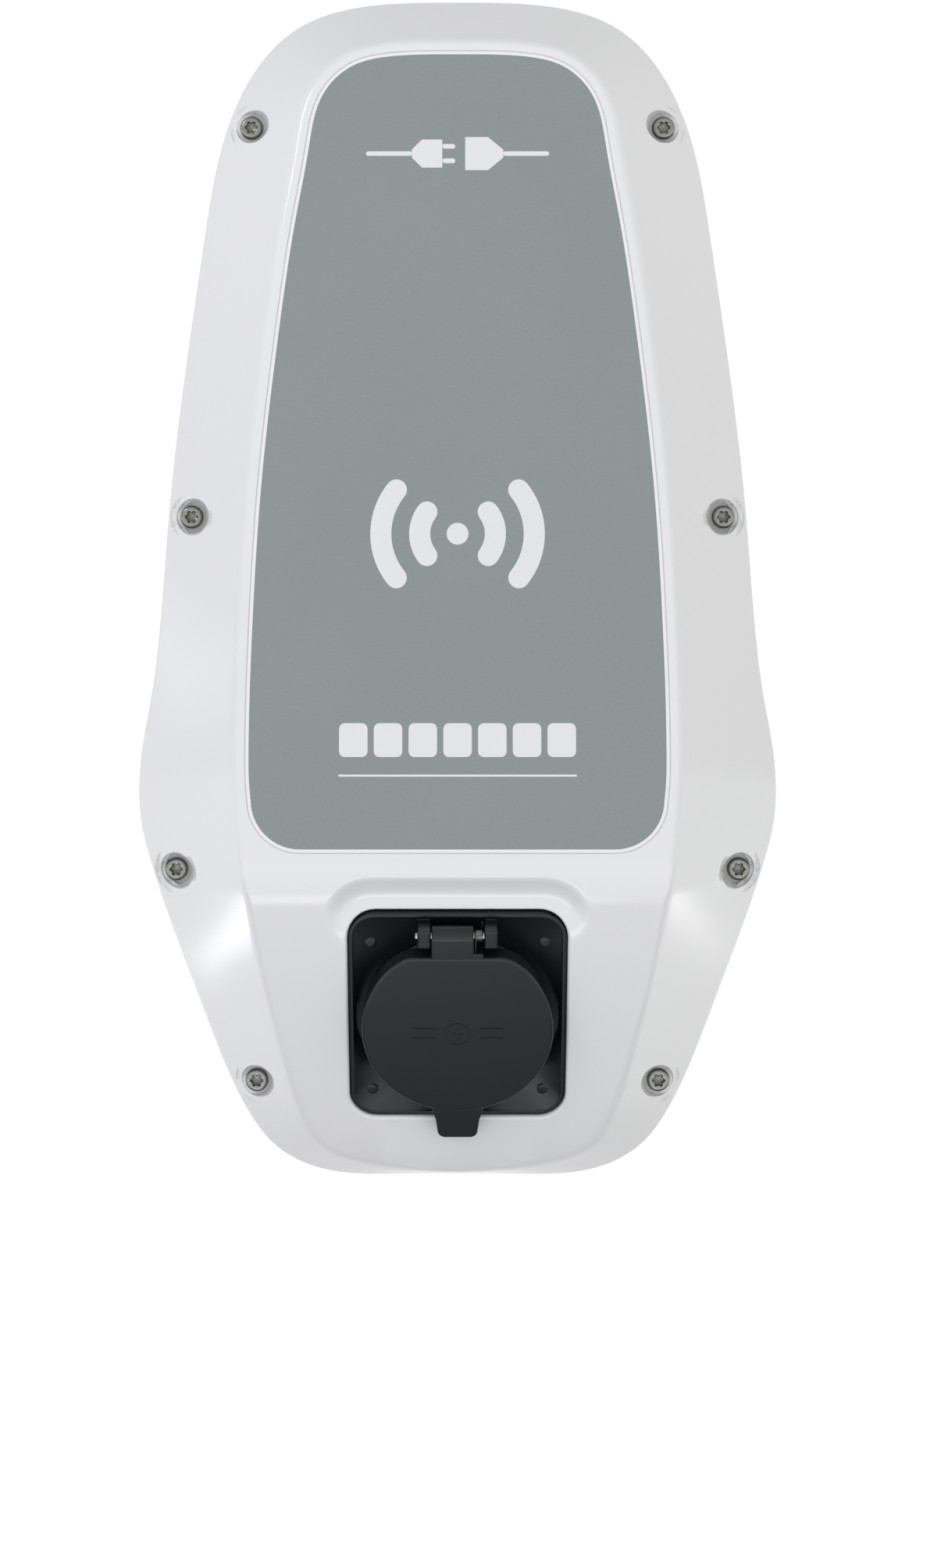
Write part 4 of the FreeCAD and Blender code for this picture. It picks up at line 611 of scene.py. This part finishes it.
def on_film(flat, out):
    """World points of plan points (x, z) that stand this far out of the film plane of the cover."""
    tilt = math.atan(FILM_SLOPE)
    flat = np.asarray(flat, float)
    x, z = flat.T
    depth = BROW_DEPTH - (z - BROW_Z) * FILM_SLOPE
    return np.column_stack([x, -depth - out * math.cos(tilt), z + out * math.sin(tilt)])


def skin(name, rings, capped=True, sharp=40):
    """Mesh through rings of equally many world points in millimetres, closed at its ends if capped."""
    mesh = bpy.data.meshes.new(name)
    shape = bmesh.new()
    rows = [[shape.verts.new(Vector(p) * MM) for p in ring] for ring in rings]
    for low, high in zip(rows, rows[1:]):
        for i in range(len(low)):
            j = (i + 1) % len(low)
            shape.faces.new((low[i], low[j], high[j], high[i]))
    if capped:
        shape.faces.new(rows[0][::-1])
        shape.faces.new(rows[-1])
    bmesh.ops.recalc_face_normals(shape, faces=shape.faces)
    finish_shape(shape, mesh, sharp)
    return new_piece(name, mesh)


def finish_shape(shape, mesh, sharp):
    """Smooth faces with crisp edges where the surface turns by more than the angle."""
    for face in shape.faces:
        face.smooth = True
    for edge in shape.edges:
        edge.smooth = len(edge.link_faces) == 2 and edge.calc_face_angle() < math.radians(sharp)
    shape.to_mesh(mesh)
    shape.free()


def join(name, pieces):
    """One piece from several, which then no longer exist."""
    with bpy.context.temp_override(active_object=pieces[0], selected_editable_objects=pieces):
        bpy.ops.object.join()
    pieces[0].name = name
    pieces[0].data.name = name
    return pieces[0]


def settle(piece, finish, slot, body="housing", *nodes):
    """Gives a piece its finish, lets it ride on its body, and stands it for CAD nodes. The slot is not
    used.
    """
    weighted = piece.modifiers.new("weighted", "WEIGHTED_NORMAL")
    weighted.keep_sharp = True
    piece.data.materials.clear()
    piece.data.materials.append(finish)
    if nodes:
        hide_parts(*nodes)
    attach(piece, body)
    return piece


film_edge = film_outline(0.0)
film_rings = [on_film(film_edge, -FILM_SUNK - FILM_THICK), on_film(film_edge, -FILM_SUNK - FILM_BREAK),
              on_film(inset_loop(film_edge, FILM_BREAK), -FILM_SUNK)]
film_piece = skin("film_sheet", film_rings)
film_white = moulded("film_white_border", "ECECEF", "E9E9EC", 0.3, 0.5, 0.002)
settle(film_piece, film_white, "film", "housing", "front_film")


def ink(name, outline, level=1):
    """Thin closed sheet of ink on the film; the level says how many coats lie under it."""
    low = -FILM_SUNK + INK * (level - 1)
    return skin(name, [on_film(outline, low + 0.002), on_film(outline, low + INK)])


def grey_film():
    """Grey screen print under a fine matte texture, with the faint mottle of the print."""
    finish, tree, shader, place = new_finish("grey_screen_print")
    grain = noise(tree, place, 1 / (0.9 * MM), 3.0)
    cloud = combined(tree, "MULTIPLY", noise(tree, place, 14.0, 2.0), 0.3)
    both = combined(tree, "MULTIPLY_ADD", grain, 0.7, cloud)
    drive(tree, shader, {
        "Base Color": mixed(tree, "7D8688", "8C9597", both),
        "Normal": relief_of(tree, grain, 0.35, 0.01),
        "Roughness": 0.42, "IOR": 1.58})
    return finish


grey_piece = ink("film_grey_print", film_outline(-PRINT_BORDER))
settle(grey_piece, grey_film(), "film")


def ring_arc(centre, radius, width, middle, half_angle):
    """Outline of a stroke along an arc, with round ends; angles in degrees."""
    ends = np.radians([middle - half_angle, middle + half_angle])
    stroke = bearings(np.linspace(ends[0], ends[1], 40))
    cap = np.radians(np.linspace(0, 180, 12))[1:-1]
    first, last = bearings(ends) * radius
    cap_last = last + width / 2 * bearings(ends[1] + cap)
    cap_first = first + width / 2 * bearings(ends[0] + math.pi + cap)
    outer, inner = stroke * (radius + width / 2), stroke[::-1] * (radius - width / 2)
    return np.vstack([outer, cap_last, inner, cap_first]) + centre


def disc(centre, radius, points=40):
    """Outline of a round dot."""
    return np.array(centre) + radius * bearings(np.radians(np.arange(points) * 360 / points))


def bar(centre, width, height, corner):
    """Outline of a bar with round corners."""
    return rounded_rectangle(width, height, corner, 3, 6) + centre


SIGN_Z = 21.2
sign = [disc((0, SIGN_Z), 4.25)]
for side, middle in ((1, 0), (-1, 180)):
    sign.append(ring_arc((side * 0.4, SIGN_Z), 14.3, 8.2, middle, 36.4))
    sign.append(ring_arc((side * 2.5, SIGN_Z), 27.3, 8.2, middle, 38.8))
contactless = join("film_contactless_sign", [ink("sign_part", outline, 2) for outline in sign])

# A plug that meets a socket, with its lead on either side.
PLUG_Z = 171.0
plug = [(-18, 1.6), (-14, 5.6), (-6, 5.6), (-6, -5.6), (-14, -5.6), (-18, -1.6)]
socket = [(3, 6.6), (12, 6.6), (18, 1.6), (18, -1.6), (12, -6.6), (3, -6.6)]
plug_parts = [bar((x, PLUG_Z), 18, 1.8, 0.8) for x in (-27, 27)]
plug_parts.append(np.array(plug) + (0, PLUG_Z))
plug_parts += [bar((-3.4, PLUG_Z + up), 5, 1.9, 0.9) for up in (2.9, -2.9)]
plug_parts.append(np.array(socket) + (0, PLUG_Z))
plug_sign = join("film_plug_sign", [ink("plug_part", outline[::-1], 2) for outline in plug_parts])

# A charge gauge: a row of cells that fill up, over a thin rule.
GAUGE_Z = -58.5
CELLS = 7
CELL_STEP = 13.4
cells = [bar(((i - (CELLS - 1) / 2) * CELL_STEP, GAUGE_Z), 11.0, 13.0, 2.2) for i in range(CELLS)]
cells += [bar((0, GAUGE_Z - 13.6), 92.0, 0.8, 0.35)]
gauge = join("film_charge_gauge", [ink("gauge_part", outline, 2) for outline in cells])
white_ink = moulded("white_ink", "E3E4E6", "DFE0E2", 0.45, 0.5, 0.001)
for print_piece in (contactless, plug_sign, gauge):
    settle(print_piece, white_ink, "film")

# ---------------------------- cover screws
# Stainless pan-head screws with a six-lobed drive. Their gloss is uneven in a fine grain. The drive and
# the foot of the head are painted dark as shade, where little light gets in.
HEAD_RADIUS = 4.6
HEAD_HEIGHT = 3.0
HEAD_DOME = 1.3  # radius of its rounded edge
SHANK_RADIUS = 2.0
SHANK_LENGTH = 24.5
DRIVE_OUTER = 2.65
DRIVE_INNER = 1.9
DRIVE_DEPTH = 1.9


def round_ring(radius, height, centre, points=72, lobes=0.0):
    """Ring round a screw's axis, which runs along Y; lobes is how far its six waves swing."""
    turn = np.radians(np.arange(points) * 360 / points)
    reach = radius + lobes * np.cos(6 * turn)
    x, z = (centre + reach[:, None] * bearings(turn)).T
    return np.column_stack([x, np.full(points, -POCKET_FLOOR - height), z])


def cover_screw(centre):
    """One screw: its shank, its domed head and the six-lobed hollow in it."""
    profile = [(0.3, -SHANK_LENGTH), (SHANK_RADIUS, -SHANK_LENGTH + 1.5), (SHANK_RADIUS, 0.0),
               (HEAD_RADIUS - 0.1, 0.0), (HEAD_RADIUS, 0.15)]
    dome = [(HEAD_RADIUS - inset, HEAD_HEIGHT - drop)
            for inset, drop in rounding(HEAD_DOME, range(0, 91, 15))]
    rings = [round_ring(r, h, centre) for r, h in profile + dome]
    mean, swing = (DRIVE_OUTER + DRIVE_INNER) / 2, (DRIVE_OUTER - DRIVE_INNER) / 2
    for radius, sunk in ((mean + 0.12, 0), (mean, 0.12), (mean, DRIVE_DEPTH)):
        rings.append(round_ring(radius, HEAD_HEIGHT - sunk, centre, lobes=swing))
    for radius, sunk in ((0.9, 0.5), (0.2, 0.6)):
        rings.append(round_ring(radius, HEAD_HEIGHT - DRIVE_DEPTH - sunk, centre))
    return skin("screw", rings, sharp=50)


def turned_steel():
    """Stainless steel with a fine uneven grain, and painted shade that darkens its colour where the
    surface is shut in.
    """
    finish, tree, shader, place = new_finish("turned_stainless")
    grain = noise(tree, place, 1 / (0.35 * MM), 4.0)
    # Painted shade: an occlusion node mixes a near-black into the colour in the drive and at the foot
    # of the head.
    hidden = add_node(tree, "AmbientOcclusion", {"samples": 8, "Distance": 2.5 * MM})
    openness = remap(tree, hidden.outputs["AO"], 0.0, 1.0, 0.35, 0.95)
    painted_recess_shade = add_node(tree, "Mix", {"data_type": "RGBA", 0: openness, 6: linear("1E1E1C"),
                                   7: mixed(tree, "7C7C78", "A6A6A2", grain)})
    drive(tree, shader, {
        "Base Color": painted_recess_shade.outputs[2],
        "Roughness": remap(tree, grain, 0.14, 0.32),
        "Normal": relief_of(tree, grain, 0.5, 0.01),
        "Metallic": 1.0})
    return finish


stainless = turned_steel()
screws = join("cover_screw_set", [cover_screw(centre) for centre in screw_places])
settle(screws, stainless, "stainless", "housing", "cover_screws")

# ---------------------------- socket frame
# One black moulding with a fine spark-eroded grain. A thin border fits the window, a dish runs
# down to the round collar, and two lugs carry the hinge pin of the lid.
FRAME_GAP = 0.5
FRAME_SUNK = 0.8
FRAME_LIP = 1.6
FRAME_BACK = -7.0
LID_CENTRE = -1.6
DISH_RADIUS = 40.0
DISH_FLOOR = -5.0
COLLAR_BORE = 32.2
COLLAR_OUTER = 34.6
COLLAR_TOP = 0.7
LID_FLAT_TOP = 31.8
HINGE_UP = 39.3
HINGE_OUT = 3.6
LUG_NEAR, LUG_FAR = 10.3, 15.5  # sides of a lug, from the middle
LUG_ROOT, LUG_TOP = DISH_FLOOR - 1, 7.0
PLATE_MARGIN = 7.5  # how far the plate reaches behind the cover
PLATE_CORNER = 18.5
PLATE_CLEAR = 0.45  # below the window's upper edge, where the cover is thin
PLATE_THICK = 3.0
BOSS_OUT, BOSS_UP, BOSS_DOWN = 34.0, 32.4, -35.6  # low domes over the insert's screws

frame_width, frame_length = WINDOW_WIDTH - 2 * FRAME_GAP, WINDOW_LENGTH - 2 * FRAME_GAP
frame_corner = WINDOW_CORNER - FRAME_GAP


def frame_ring(inset, out):
    """Ring inside the frame's outline, and how far out of the socket plane it is."""
    ring = rounded_rectangle(frame_width - 2 * inset, frame_length - 2 * inset, frame_corner - inset)
    return ring, out


def round_like(ring, radius):
    """Circle round the lid's centre whose points lie in the same directions as those of a ring."""
    off = ring - (0, LID_CENTRE)
    return (0, LID_CENTRE) + radius * off / np.linalg.norm(off, axis=1)[:, None]


mouth = frame_ring(FRAME_LIP, 0)[0]
floor_ring = round_like(mouth, DISH_RADIUS)
dish_top = -FRAME_SUNK - 0.35
frame_rings = [frame_ring(0, FRAME_BACK), frame_ring(0, -FRAME_SUNK - 0.5)]
frame_rings += [frame_ring(inset, -FRAME_SUNK - drop) for inset, drop in rounding(0.5, (30, 60, 90))]
frame_rings += [frame_ring(FRAME_LIP - 0.35, -FRAME_SUNK),
                frame_ring(FRAME_LIP - 0.1, -FRAME_SUNK - 0.1)]
frame_rings += [(mouth + (floor_ring - mouth) * share, dish_top + (DISH_FLOOR - dish_top) * share)
                for share in np.linspace(0, 1, 9)]
for radius, up in ((DISH_RADIUS - 1.5, -0.3), (COLLAR_OUTER + 0.6, -0.3), (COLLAR_OUTER, 0.3)):
    frame_rings.append((round_like(mouth, radius), DISH_FLOOR + up))
for radius, drop in ((COLLAR_OUTER, 0.3), (COLLAR_OUTER - 0.3, 0.0),
                     (COLLAR_BORE + 0.3, 0.0), (COLLAR_BORE, 0.3)):
    ring = round_like(mouth, radius)
    under_lid = np.clip((ring[:, 1] - (LID_FLAT_TOP - 3.0)) / 0.8, 0, 1)
    frame_rings.append((ring, COLLAR_TOP - drop - 1.0 * under_lid))
frame_rings.append((round_like(mouth, COLLAR_BORE), FRAME_BACK))


def plane_skin(name, rings, **options):
    """Skin through rings given in the socket's own frame."""
    return skin(name, [socket_points(*ring.T, out) for ring, out in rings], **options)


def hollow_skin(name, rings, **options):
    """The same, but open in the middle: the last ring joins the first."""
    return plane_skin(name, rings + rings[:1], capped=False, **options)


def block(name, low, high, corner, edge=0.8, draft=0.0):
    """Block in the socket's frame with upright corners and rounded front edges."""
    (x0, v0, n0), (x1, v1, n1) = low, high
    centre = ((x0 + x1) / 2, (v0 + v1) / 2)
    profile = [(0, n0), (draft, n1 - edge)]
    profile += [(draft + inset, n1 - drop) for inset, drop in rounding(edge, (22, 45, 67, 90))]
    rings = [(bar(centre, x1 - x0 - 2 * inset, v1 - v0 - 2 * inset, max(corner - inset, 0.05)), out)
             for inset, out in profile]
    return plane_skin(name, rings)


frame_parts = [hollow_skin("frame_dish", frame_rings, sharp=50)]
for x0, x1 in ((-LUG_FAR, -LUG_NEAR), (LUG_NEAR, LUG_FAR)):
    frame_parts.append(block("lug", (x0, HINGE_UP - 4, LUG_ROOT), (x1, HINGE_UP + 4, LUG_TOP), 0.7))
    frame_parts.append(block("lug_foot", (x0 - 0.4, HINGE_UP - 5.4, LUG_ROOT),
                             (x1 + 0.4, HINGE_UP + 5.2, -1.6), 0.9, 0.7, 0.5))
plate_edge = rounded_rectangle(WINDOW_WIDTH + 2 * PLATE_MARGIN, WINDOW_LENGTH + 2 * PLATE_MARGIN,
                               PLATE_CORNER)
plate_edge[:, 1] = np.minimum(plate_edge[:, 1], WINDOW_LENGTH / 2 - PLATE_CLEAR)
plate_hole = rounded_rectangle(frame_width - 1, frame_length - 1, frame_corner)
frame_parts.append(hollow_skin("frame_plate", [
    (plate_edge, FRAME_BACK), (plate_edge, FRAME_BACK + PLATE_THICK),
    (plate_hole, FRAME_BACK + PLATE_THICK), (plate_hole, FRAME_BACK)]))
for up in (BOSS_UP, BOSS_DOWN):
    for x in (-BOSS_OUT, BOSS_OUT):
        profile = ((2.6, -5.5), (2.4, -3.0), (2.0, -2.6), (1.3, -2.45))
        frame_parts.append(plane_skin("screw_boss", [(disc((x, up), r, 24), n) for r, n in profile]))
black_grain = moulded("black_grained_plastic", "0D1316", "12181B", 0.34, 0.55, 0.02)
frame_piece = join("socket_frame_moulding", frame_parts)
settle(frame_piece, black_grain, "socket_plastic", "housing", "socket_frame")

# ---------------------------- lid
# The lid is a second black moulding, a shade softer in gloss: a disc with a straight top edge,
# a knuckle that runs up to the hinge, and a thumb tab. A small sign is raised on its face.
LID_RADIUS = 37.4
LID_FACE = 8.0
LID_UNDER = 3.0
LID_SKIRT_END = 0.2
LID_SKIRT = 2.0
LID_EDGE = 1.1  # radius of its front edge
LID_SHOULDER = 1.3
LID_SHOULDER_AT = math.radians(40)  # to either side of the top
LID_SHOULDER_SPREAD = 0.35  # radians


def lid_outline(inset):
    """Disc that swells a little at its shoulders and is cut off straight at the top."""
    turn = np.radians(np.arange(144) * 2.5)
    off_shoulder = (np.abs(turn - math.pi / 2) - LID_SHOULDER_AT) / LID_SHOULDER_SPREAD
    swell = LID_SHOULDER * np.exp(-off_shoulder ** 2)
    ring = (LID_RADIUS + swell - inset)[:, None] * bearings(turn)
    ring[:, 1] = soft_min(ring[:, 1], LID_FLAT_TOP - LID_CENTRE - inset, 1.2)
    return ring + (0, LID_CENTRE)


lid_rings = [(lid_outline(LID_SKIRT), LID_UNDER), (lid_outline(LID_SKIRT), LID_SKIRT_END + 0.3),
             (lid_outline(LID_SKIRT - 0.3), LID_SKIRT_END), (lid_outline(0.3), LID_SKIRT_END),
             (lid_outline(0), LID_SKIRT_END + 0.3), (lid_outline(0), LID_FACE - LID_EDGE)]
lid_rings += [(lid_outline(inset), LID_FACE - drop)
              for inset, drop in rounding(LID_EDGE, (18, 36, 54, 72, 90))]
lid_parts = [plane_skin("lid_disc", lid_rings)]

# The knuckle: a plate that wraps over the hinge pin, notched at the right for the spring.
KNUCKLE_RADIUS = 4.2
KNUCKLE_HALF = 10.0
KNUCKLE_ROOT = LID_FLAT_TOP - 3
KNUCKLE_UNDER, KNUCKLE_FACE = 4.0, LID_FACE - 0.25
SPRING_SLOT = 6.2
wrap = [(KNUCKLE_ROOT, KNUCKLE_UNDER), (KNUCKLE_ROOT, KNUCKLE_FACE)]
wrap += [(HINGE_UP + KNUCKLE_RADIUS * math.sin(t), HINGE_OUT + KNUCKLE_RADIUS * math.cos(t))
         for t in np.radians(range(0, 271, 15))]
wrap += [(HINGE_UP - KNUCKLE_RADIUS - 0.2, KNUCKLE_UNDER)]
wrap = np.array(wrap)
wrap[2:, 1] += 0.15 * np.clip((wrap[2:, 1] - 6) / 2, 0, 1)


def knuckle(name, x0, x1, outline, edge=0.35):
    """Bar along the hinge with the side outline (v, n), its end edges broken."""
    middle = outline.mean(0)
    rings = []
    for x, shrink in ((x0, edge), (x0 + edge, 0), (x1 - edge, 0), (x1, edge)):
        away = outline - middle
        drawn = middle + away * (1 - shrink / np.linalg.norm(away, axis=1))[:, None]
        rings.append(socket_points(x, *drawn.T))
    return skin(name, rings)


lid_parts.append(knuckle("knuckle", -KNUCKLE_HALF, SPRING_SLOT, wrap))
foot = np.array([(KNUCKLE_ROOT, KNUCKLE_UNDER), (KNUCKLE_ROOT, KNUCKLE_FACE),
                 (HINGE_UP - 5.6, KNUCKLE_FACE), (HINGE_UP - 5.4, KNUCKLE_UNDER)])
lid_parts.append(knuckle("knuckle_foot", SPRING_SLOT - 0.4, KNUCKLE_HALF, foot))

# The tab tapers down from the disc's lower edge, a millimetre under its face.
TAB_ROOT_HALF = 10.1
TAB_WAIST_HALF = 8.7
TAB_TIP_HALF = 8.0
TAB_END = -52.0
TAB_FACE = 7.0
TAB_UNDER = 4.0
TAB_CORNER = 3.0
TAB_EDGE = 0.8


def tab_outline(inset):
    """Tab that narrows quickly below the disc, then runs nearly straight to its rounded tip."""
    root, tip, corner = LID_CENTRE - LID_RADIUS, TAB_END + inset, TAB_CORNER - inset
    turn = np.radians(range(-90, 1, 15))
    right = (TAB_TIP_HALF - TAB_CORNER, tip + corner) + corner * bearings(turn)
    waist, side = TAB_WAIST_HALF - inset, TAB_ROOT_HALF - inset
    right = np.vstack([right, [(waist, root - 4.5), (side, root - 0.5), (side, root + 6)]])
    return np.vstack([right, right[::-1] * (-1, 1)])


tab_rings = [(tab_outline(0.3), TAB_UNDER), (tab_outline(0), TAB_UNDER + 0.3),
             (tab_outline(0), TAB_FACE - TAB_EDGE)]
tab_rings += [(tab_outline(inset), TAB_FACE - drop) for inset, drop in rounding(TAB_EDGE, (30, 60, 90))]
lid_parts.append(plane_skin("tab", tab_rings))

# The raised sign: a bolt in a ring between two pairs of bars.
MARK_ROOT, MARK_TOP = LID_FACE - 0.2, LID_FACE + 0.3
SIGN_V = -3.0
bolt = np.array([(0.9, 3.4), (-2.2, -0.5), (-0.3, -0.5), (-0.9, -3.4), (2.2, 0.5), (0.3, 0.5)])
marks = [bolt + (0, SIGN_V)]
marks += [bar((x, SIGN_V + v), 9.5, 1.9, 0.9) for x in (-13.2, 13.2) for v in (2.2, -2.2)]
lid_parts += [plane_skin("mark", [(outline, MARK_ROOT), (outline, MARK_TOP)]) for outline in marks]
outer, inner = disc((0, SIGN_V), 5.2, 48), disc((0, SIGN_V), 4.3, 48)
lid_parts.append(hollow_skin("mark_ring", [(outer, MARK_ROOT), (outer, MARK_TOP),
                                           (inner, MARK_TOP), (inner, MARK_ROOT)]))
lid_grain = moulded("black_lid_plastic", "0D1417", "131B1E", 0.33, 0.6, 0.02)
lid_piece = join("lid_moulding", lid_parts)
settle(lid_piece, lid_grain, "lid_plastic", "lid", "socket_lid")

# ---------------------------- hinge pin and spring
# A bright steel pin runs through the lugs, and a torsion spring wound round it in the notch of the
# knuckle shuts the lid. Its legs press on the lid and on the frame.
WIRE = 0.45  # half its thickness
COIL_RADIUS = 2.3
COIL_TURNS = 5.5
COIL_FROM, COIL_TO = 6.9, 9.5  # ends of the coil along the pin


def metal(name, shade, roughness, streak=0.1):
    """Bare metal with the fine uneven gloss of drawn or rolled stock."""
    finish, tree, shader, place = new_finish(name)
    grain = noise(tree, place, 1 / (0.8 * MM), 3.0)
    drive(tree, shader, {
        "Roughness": remap(tree, grain, roughness - streak / 2, roughness + streak / 2),
        "Base Color": linear(shade), "Metallic": 1.0})
    return finish


turn = np.linspace(0, COIL_TURNS * 2 * math.pi, int(COIL_TURNS * 20) + 1)
coil = np.column_stack([np.linspace(COIL_FROM, COIL_TO, len(turn)),
                        HINGE_UP + COIL_RADIUS * np.sin(turn), HINGE_OUT + COIL_RADIUS * np.cos(turn)])
wire_path = np.vstack([[(COIL_FROM, HINGE_UP - 6.5, HINGE_OUT + COIL_RADIUS)], coil,
                       [(COIL_TO, HINGE_UP + 5.0, HINGE_OUT - COIL_RADIUS)]])
along = np.gradient(wire_path, axis=0)
along /= np.linalg.norm(along, axis=1)[:, None]
side = np.cross(along, (1, 0, 0))
side /= np.linalg.norm(side, axis=1)[:, None]
third = np.cross(along, side)
wire_rings = []
for point, a, b in zip(wire_path, side, third):
    ring = np.array([point + WIRE * (a * math.cos(t) + b * math.sin(t))
                     for t in np.radians(range(0, 360, 45))])
    wire_rings.append(socket_points(*ring.T))
spring_piece = skin("lid_spring_wire", wire_rings)
spring_steel = metal("spring_steel", "6E6E6A", 0.25)
settle(spring_piece, spring_steel, "spring_steel", "housing", "lid_spring")

# ---------------------------- casing parts behind the cover
# The rear housing is the same white plastic with a matt texture. Seals and pads are black rubber.


def paint(finish, *nodes):
    """Gives CAD pieces a finish."""
    for name in nodes:
        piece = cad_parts[name]
        piece.data.materials.clear()
        piece.data.materials.append(finish)


paint(moulded("white_textured_plastic", "DCDCDD", "D4D5D6", 0.42, 0.7, 0.015), "rear_housing")
paint(moulded("black_rubber", "141414", "1B1B1B", 0.72, 0.5, 0.01, sheen=0.3),
      "cable_grommet", "wall_washers", "cover_gasket", "socket_gasket", "lid_seal")
paint(moulded("grey_vent_plastic", "8F9395", "9B9FA1", 0.5, 0.8, 0.01), "vent_plug")
paint(metal("machined_brass", "C9A55A", 0.28),
      "housing_inserts", "earth_bar", "board_standoffs", "motor_pinion")
paint(metal("pin_steel", "B4B4B0", 0.2), "hinge_pin", "lock_bolt")
paint(stainless,
      "frame_screws", "body_screws", "lock_screws", "plate_screws", "board_screws", "antenna_screws")
paint(metal("zinc_plate", "A9ADB2", 0.38, 0.2), "mounting_plate", "din_rail")

# ---------------------------- socket insert and its lock
# Black glass-filled nylon carries silver-plated contacts. A small motor drives the locking bolt
# through a brass pinion and an acetal gear.
paint(moulded("black_nylon", "191A1C", "212325", 0.5, 0.6, 0.01),
      "socket_body", "lock_housing", "lock_bracket", "lock_cover")
paint(moulded("contact_carrier_plastic", "26282B", "303236", 0.45, 0.6, 0.008),
      "contact_carrier", "contact_base")
paint(metal("silver_plate", "D9D6CE", 0.22), "power_contacts", "pilot_contacts")
paint(moulded("natural_acetal", "E4E1D6", "DAD7CB", 0.35, 0.8, 0.004), "lock_gear")
paint(metal("motor_can", "A5A5A2", 0.3), "lock_motor")

# ---------------------------- switchgear
# Grey snap-on modules on a zinc-plated rail: contactor, fault current monitor and terminals.
# The contactor's coil is wrapped in yellow tape round its laminated steel.
paint(moulded("module_grey", "C4C7C8", "CDD0D0", 0.45, 0.6, 0.01),
      "contactor_housing", "fault_current_monitor")
paint(moulded("terminal_grey", "9DA09E", "A7AAA8", 0.5, 0.6, 0.01), "terminal_blocks")
paint(moulded("coil_tape", "D8A928", "C99B20", 0.4, 1.2, 0.01), "contactor_coil")
paint(metal("laminated_steel", "77797C", 0.45), "contactor_armature")
paint(moulded("selector_blue", "2A5A9A", "2F62A6", 0.4, 0.6, 0.006), "selector_body")
paint(moulded("selector_white", "E6E6E4", "DEDEDC", 0.4, 0.6, 0.006), "current_selector")

# ---------------------------- circuit boards
# Green solder mask over glass laminate, with copper tracks just visible under it, and black parts.


def solder_mask():
    """Glossy green lacquer, lighter where it runs over a track."""
    finish, tree, shader, place = new_finish("green_solder_mask")
    tracks = add_node(tree, "TexVoronoi", {
        "distance": "CHEBYCHEV", "feature": "F1", "Vector": place, "Scale": 160.0})
    edge = remap(tree, tracks.outputs["Distance"], 0.0, 1.0, 0.3, 0.36)
    drive(tree, shader, {"Base Color": mixed(tree, "1E5B35", "174A2A", edge), "Roughness": 0.3})
    return finish


paint(solder_mask(), "controller_board", "antenna_board")
paint(moulded("component_black", "1A1A1B", "242425", 0.4, 0.4, 0.008),
      "board_components", "power_module")

# ---------------------------- room and lights
# The station hangs in a white studio over a grey floor that glows white in front of it and behind it
# but not beneath it, so the floor lights the station like a lamp. Small soft boxes behind its sides,
# overhead and low in front give the gloss its highlights.
GROUND_LEVEL = -0.72
DARK_FROM, DARK_TO = -0.80, 0.20  # in metres along Y; beyond these the floor glows white
FADE_FRONT, FADE_BACK = 0.45, 0.25  # over which its glow fades inwards
bpy.ops.mesh.primitive_plane_add(size=60, location=(0, 0, GROUND_LEVEL))
ground = bpy.context.object
ground.name = "studio_ground"
finish, tree, shader, place = new_finish("studio_floor")
along = add_node(tree, "SeparateXYZ", {"Vector": place}).outputs["Y"]
# Painted light: the floor's emission makes it glow white in front and behind, as a lamp would.
glow = combined(tree, "MAXIMUM", remap(tree, along, 1.15, 0.0, DARK_FROM, DARK_FROM + FADE_FRONT),
                remap(tree, along, 0.0, 1.05, DARK_TO - FADE_BACK, DARK_TO))
drive(tree, shader, {
    "Base Color": linear("666666"), "Roughness": 1.0, "Specular IOR Level": 0.0,
    "Emission Color": linear("FFFFFF"), "Emission Strength": glow})
ground.data.materials.append(finish)

# Brightness by direction: white behind the station, a little less in front, above and to the right.
world = bpy.data.worlds.new("studio")
bpy.context.scene.world = world
world.use_nodes = True
tree = world.node_tree
where = add_node(tree, "TexCoord").outputs["Generated"]
toward = add_node(tree, "SeparateXYZ", {"Vector": where}).outputs
level = remap(tree, toward["Y"], 0.90, 1.05, 0.75, 0.9)
for axis, change, start, end in (("Z", -0.26, 0.35, 0.85), ("X", -0.07, 0.3, 1.0)):
    level = combined(tree, "ADD", level, remap(tree, toward[axis], 0.0, change, start, end))
tint = mixed(tree, "FAFAFF", "FFFFFA", remap(tree, toward["X"], 0.0, 1.0, -0.7, 0.7))
drive(tree, tree.nodes["Background"], {"Color": tint, "Strength": level})


def soft_light(name, place, aim, width, height, power, colour="FFFFFF"):
    """Rectangular soft box at a place in metres, pointed at another."""
    lamp = new_piece(name, bpy.data.lights.new(name, "AREA"))
    lamp.data.shape = "RECTANGLE"
    lamp.data.size = width
    lamp.data.size_y = height
    lamp.data.energy = power
    lamp.data.color = linear(colour)[:3]
    lamp.location = place
    lamp.rotation_euler = (Vector(aim) - Vector(place)).to_track_quat("-Z", "Y").to_euler()


soft_light("left_flank_softbox", (-1.30, 0.72, 0.0), (-0.1, -0.1, -0.045), 0.08, 0.12, 0.07, "F6F8FF")
soft_light("left_low_softbox", (-1.00, 0.66, -0.64), (-0.1, -0.09, -0.15), 0.12, 0.04, 0.08, "F6F8FF")
soft_light("right_low_softbox", (1.00, 0.70, -0.62), (0.1, -0.09, -0.12), 0.10, 0.03, 0.045)
soft_light("overhead_softbox", (-0.9, -1.1, 0.9), (0, -0.1, -0.1), 0.3, 0.3, 2.5)
soft_light("low_front_softbox", (-0.08, -0.64, -0.70), (0, -0.11, -0.14), 0.34, 0.2, 0.5)
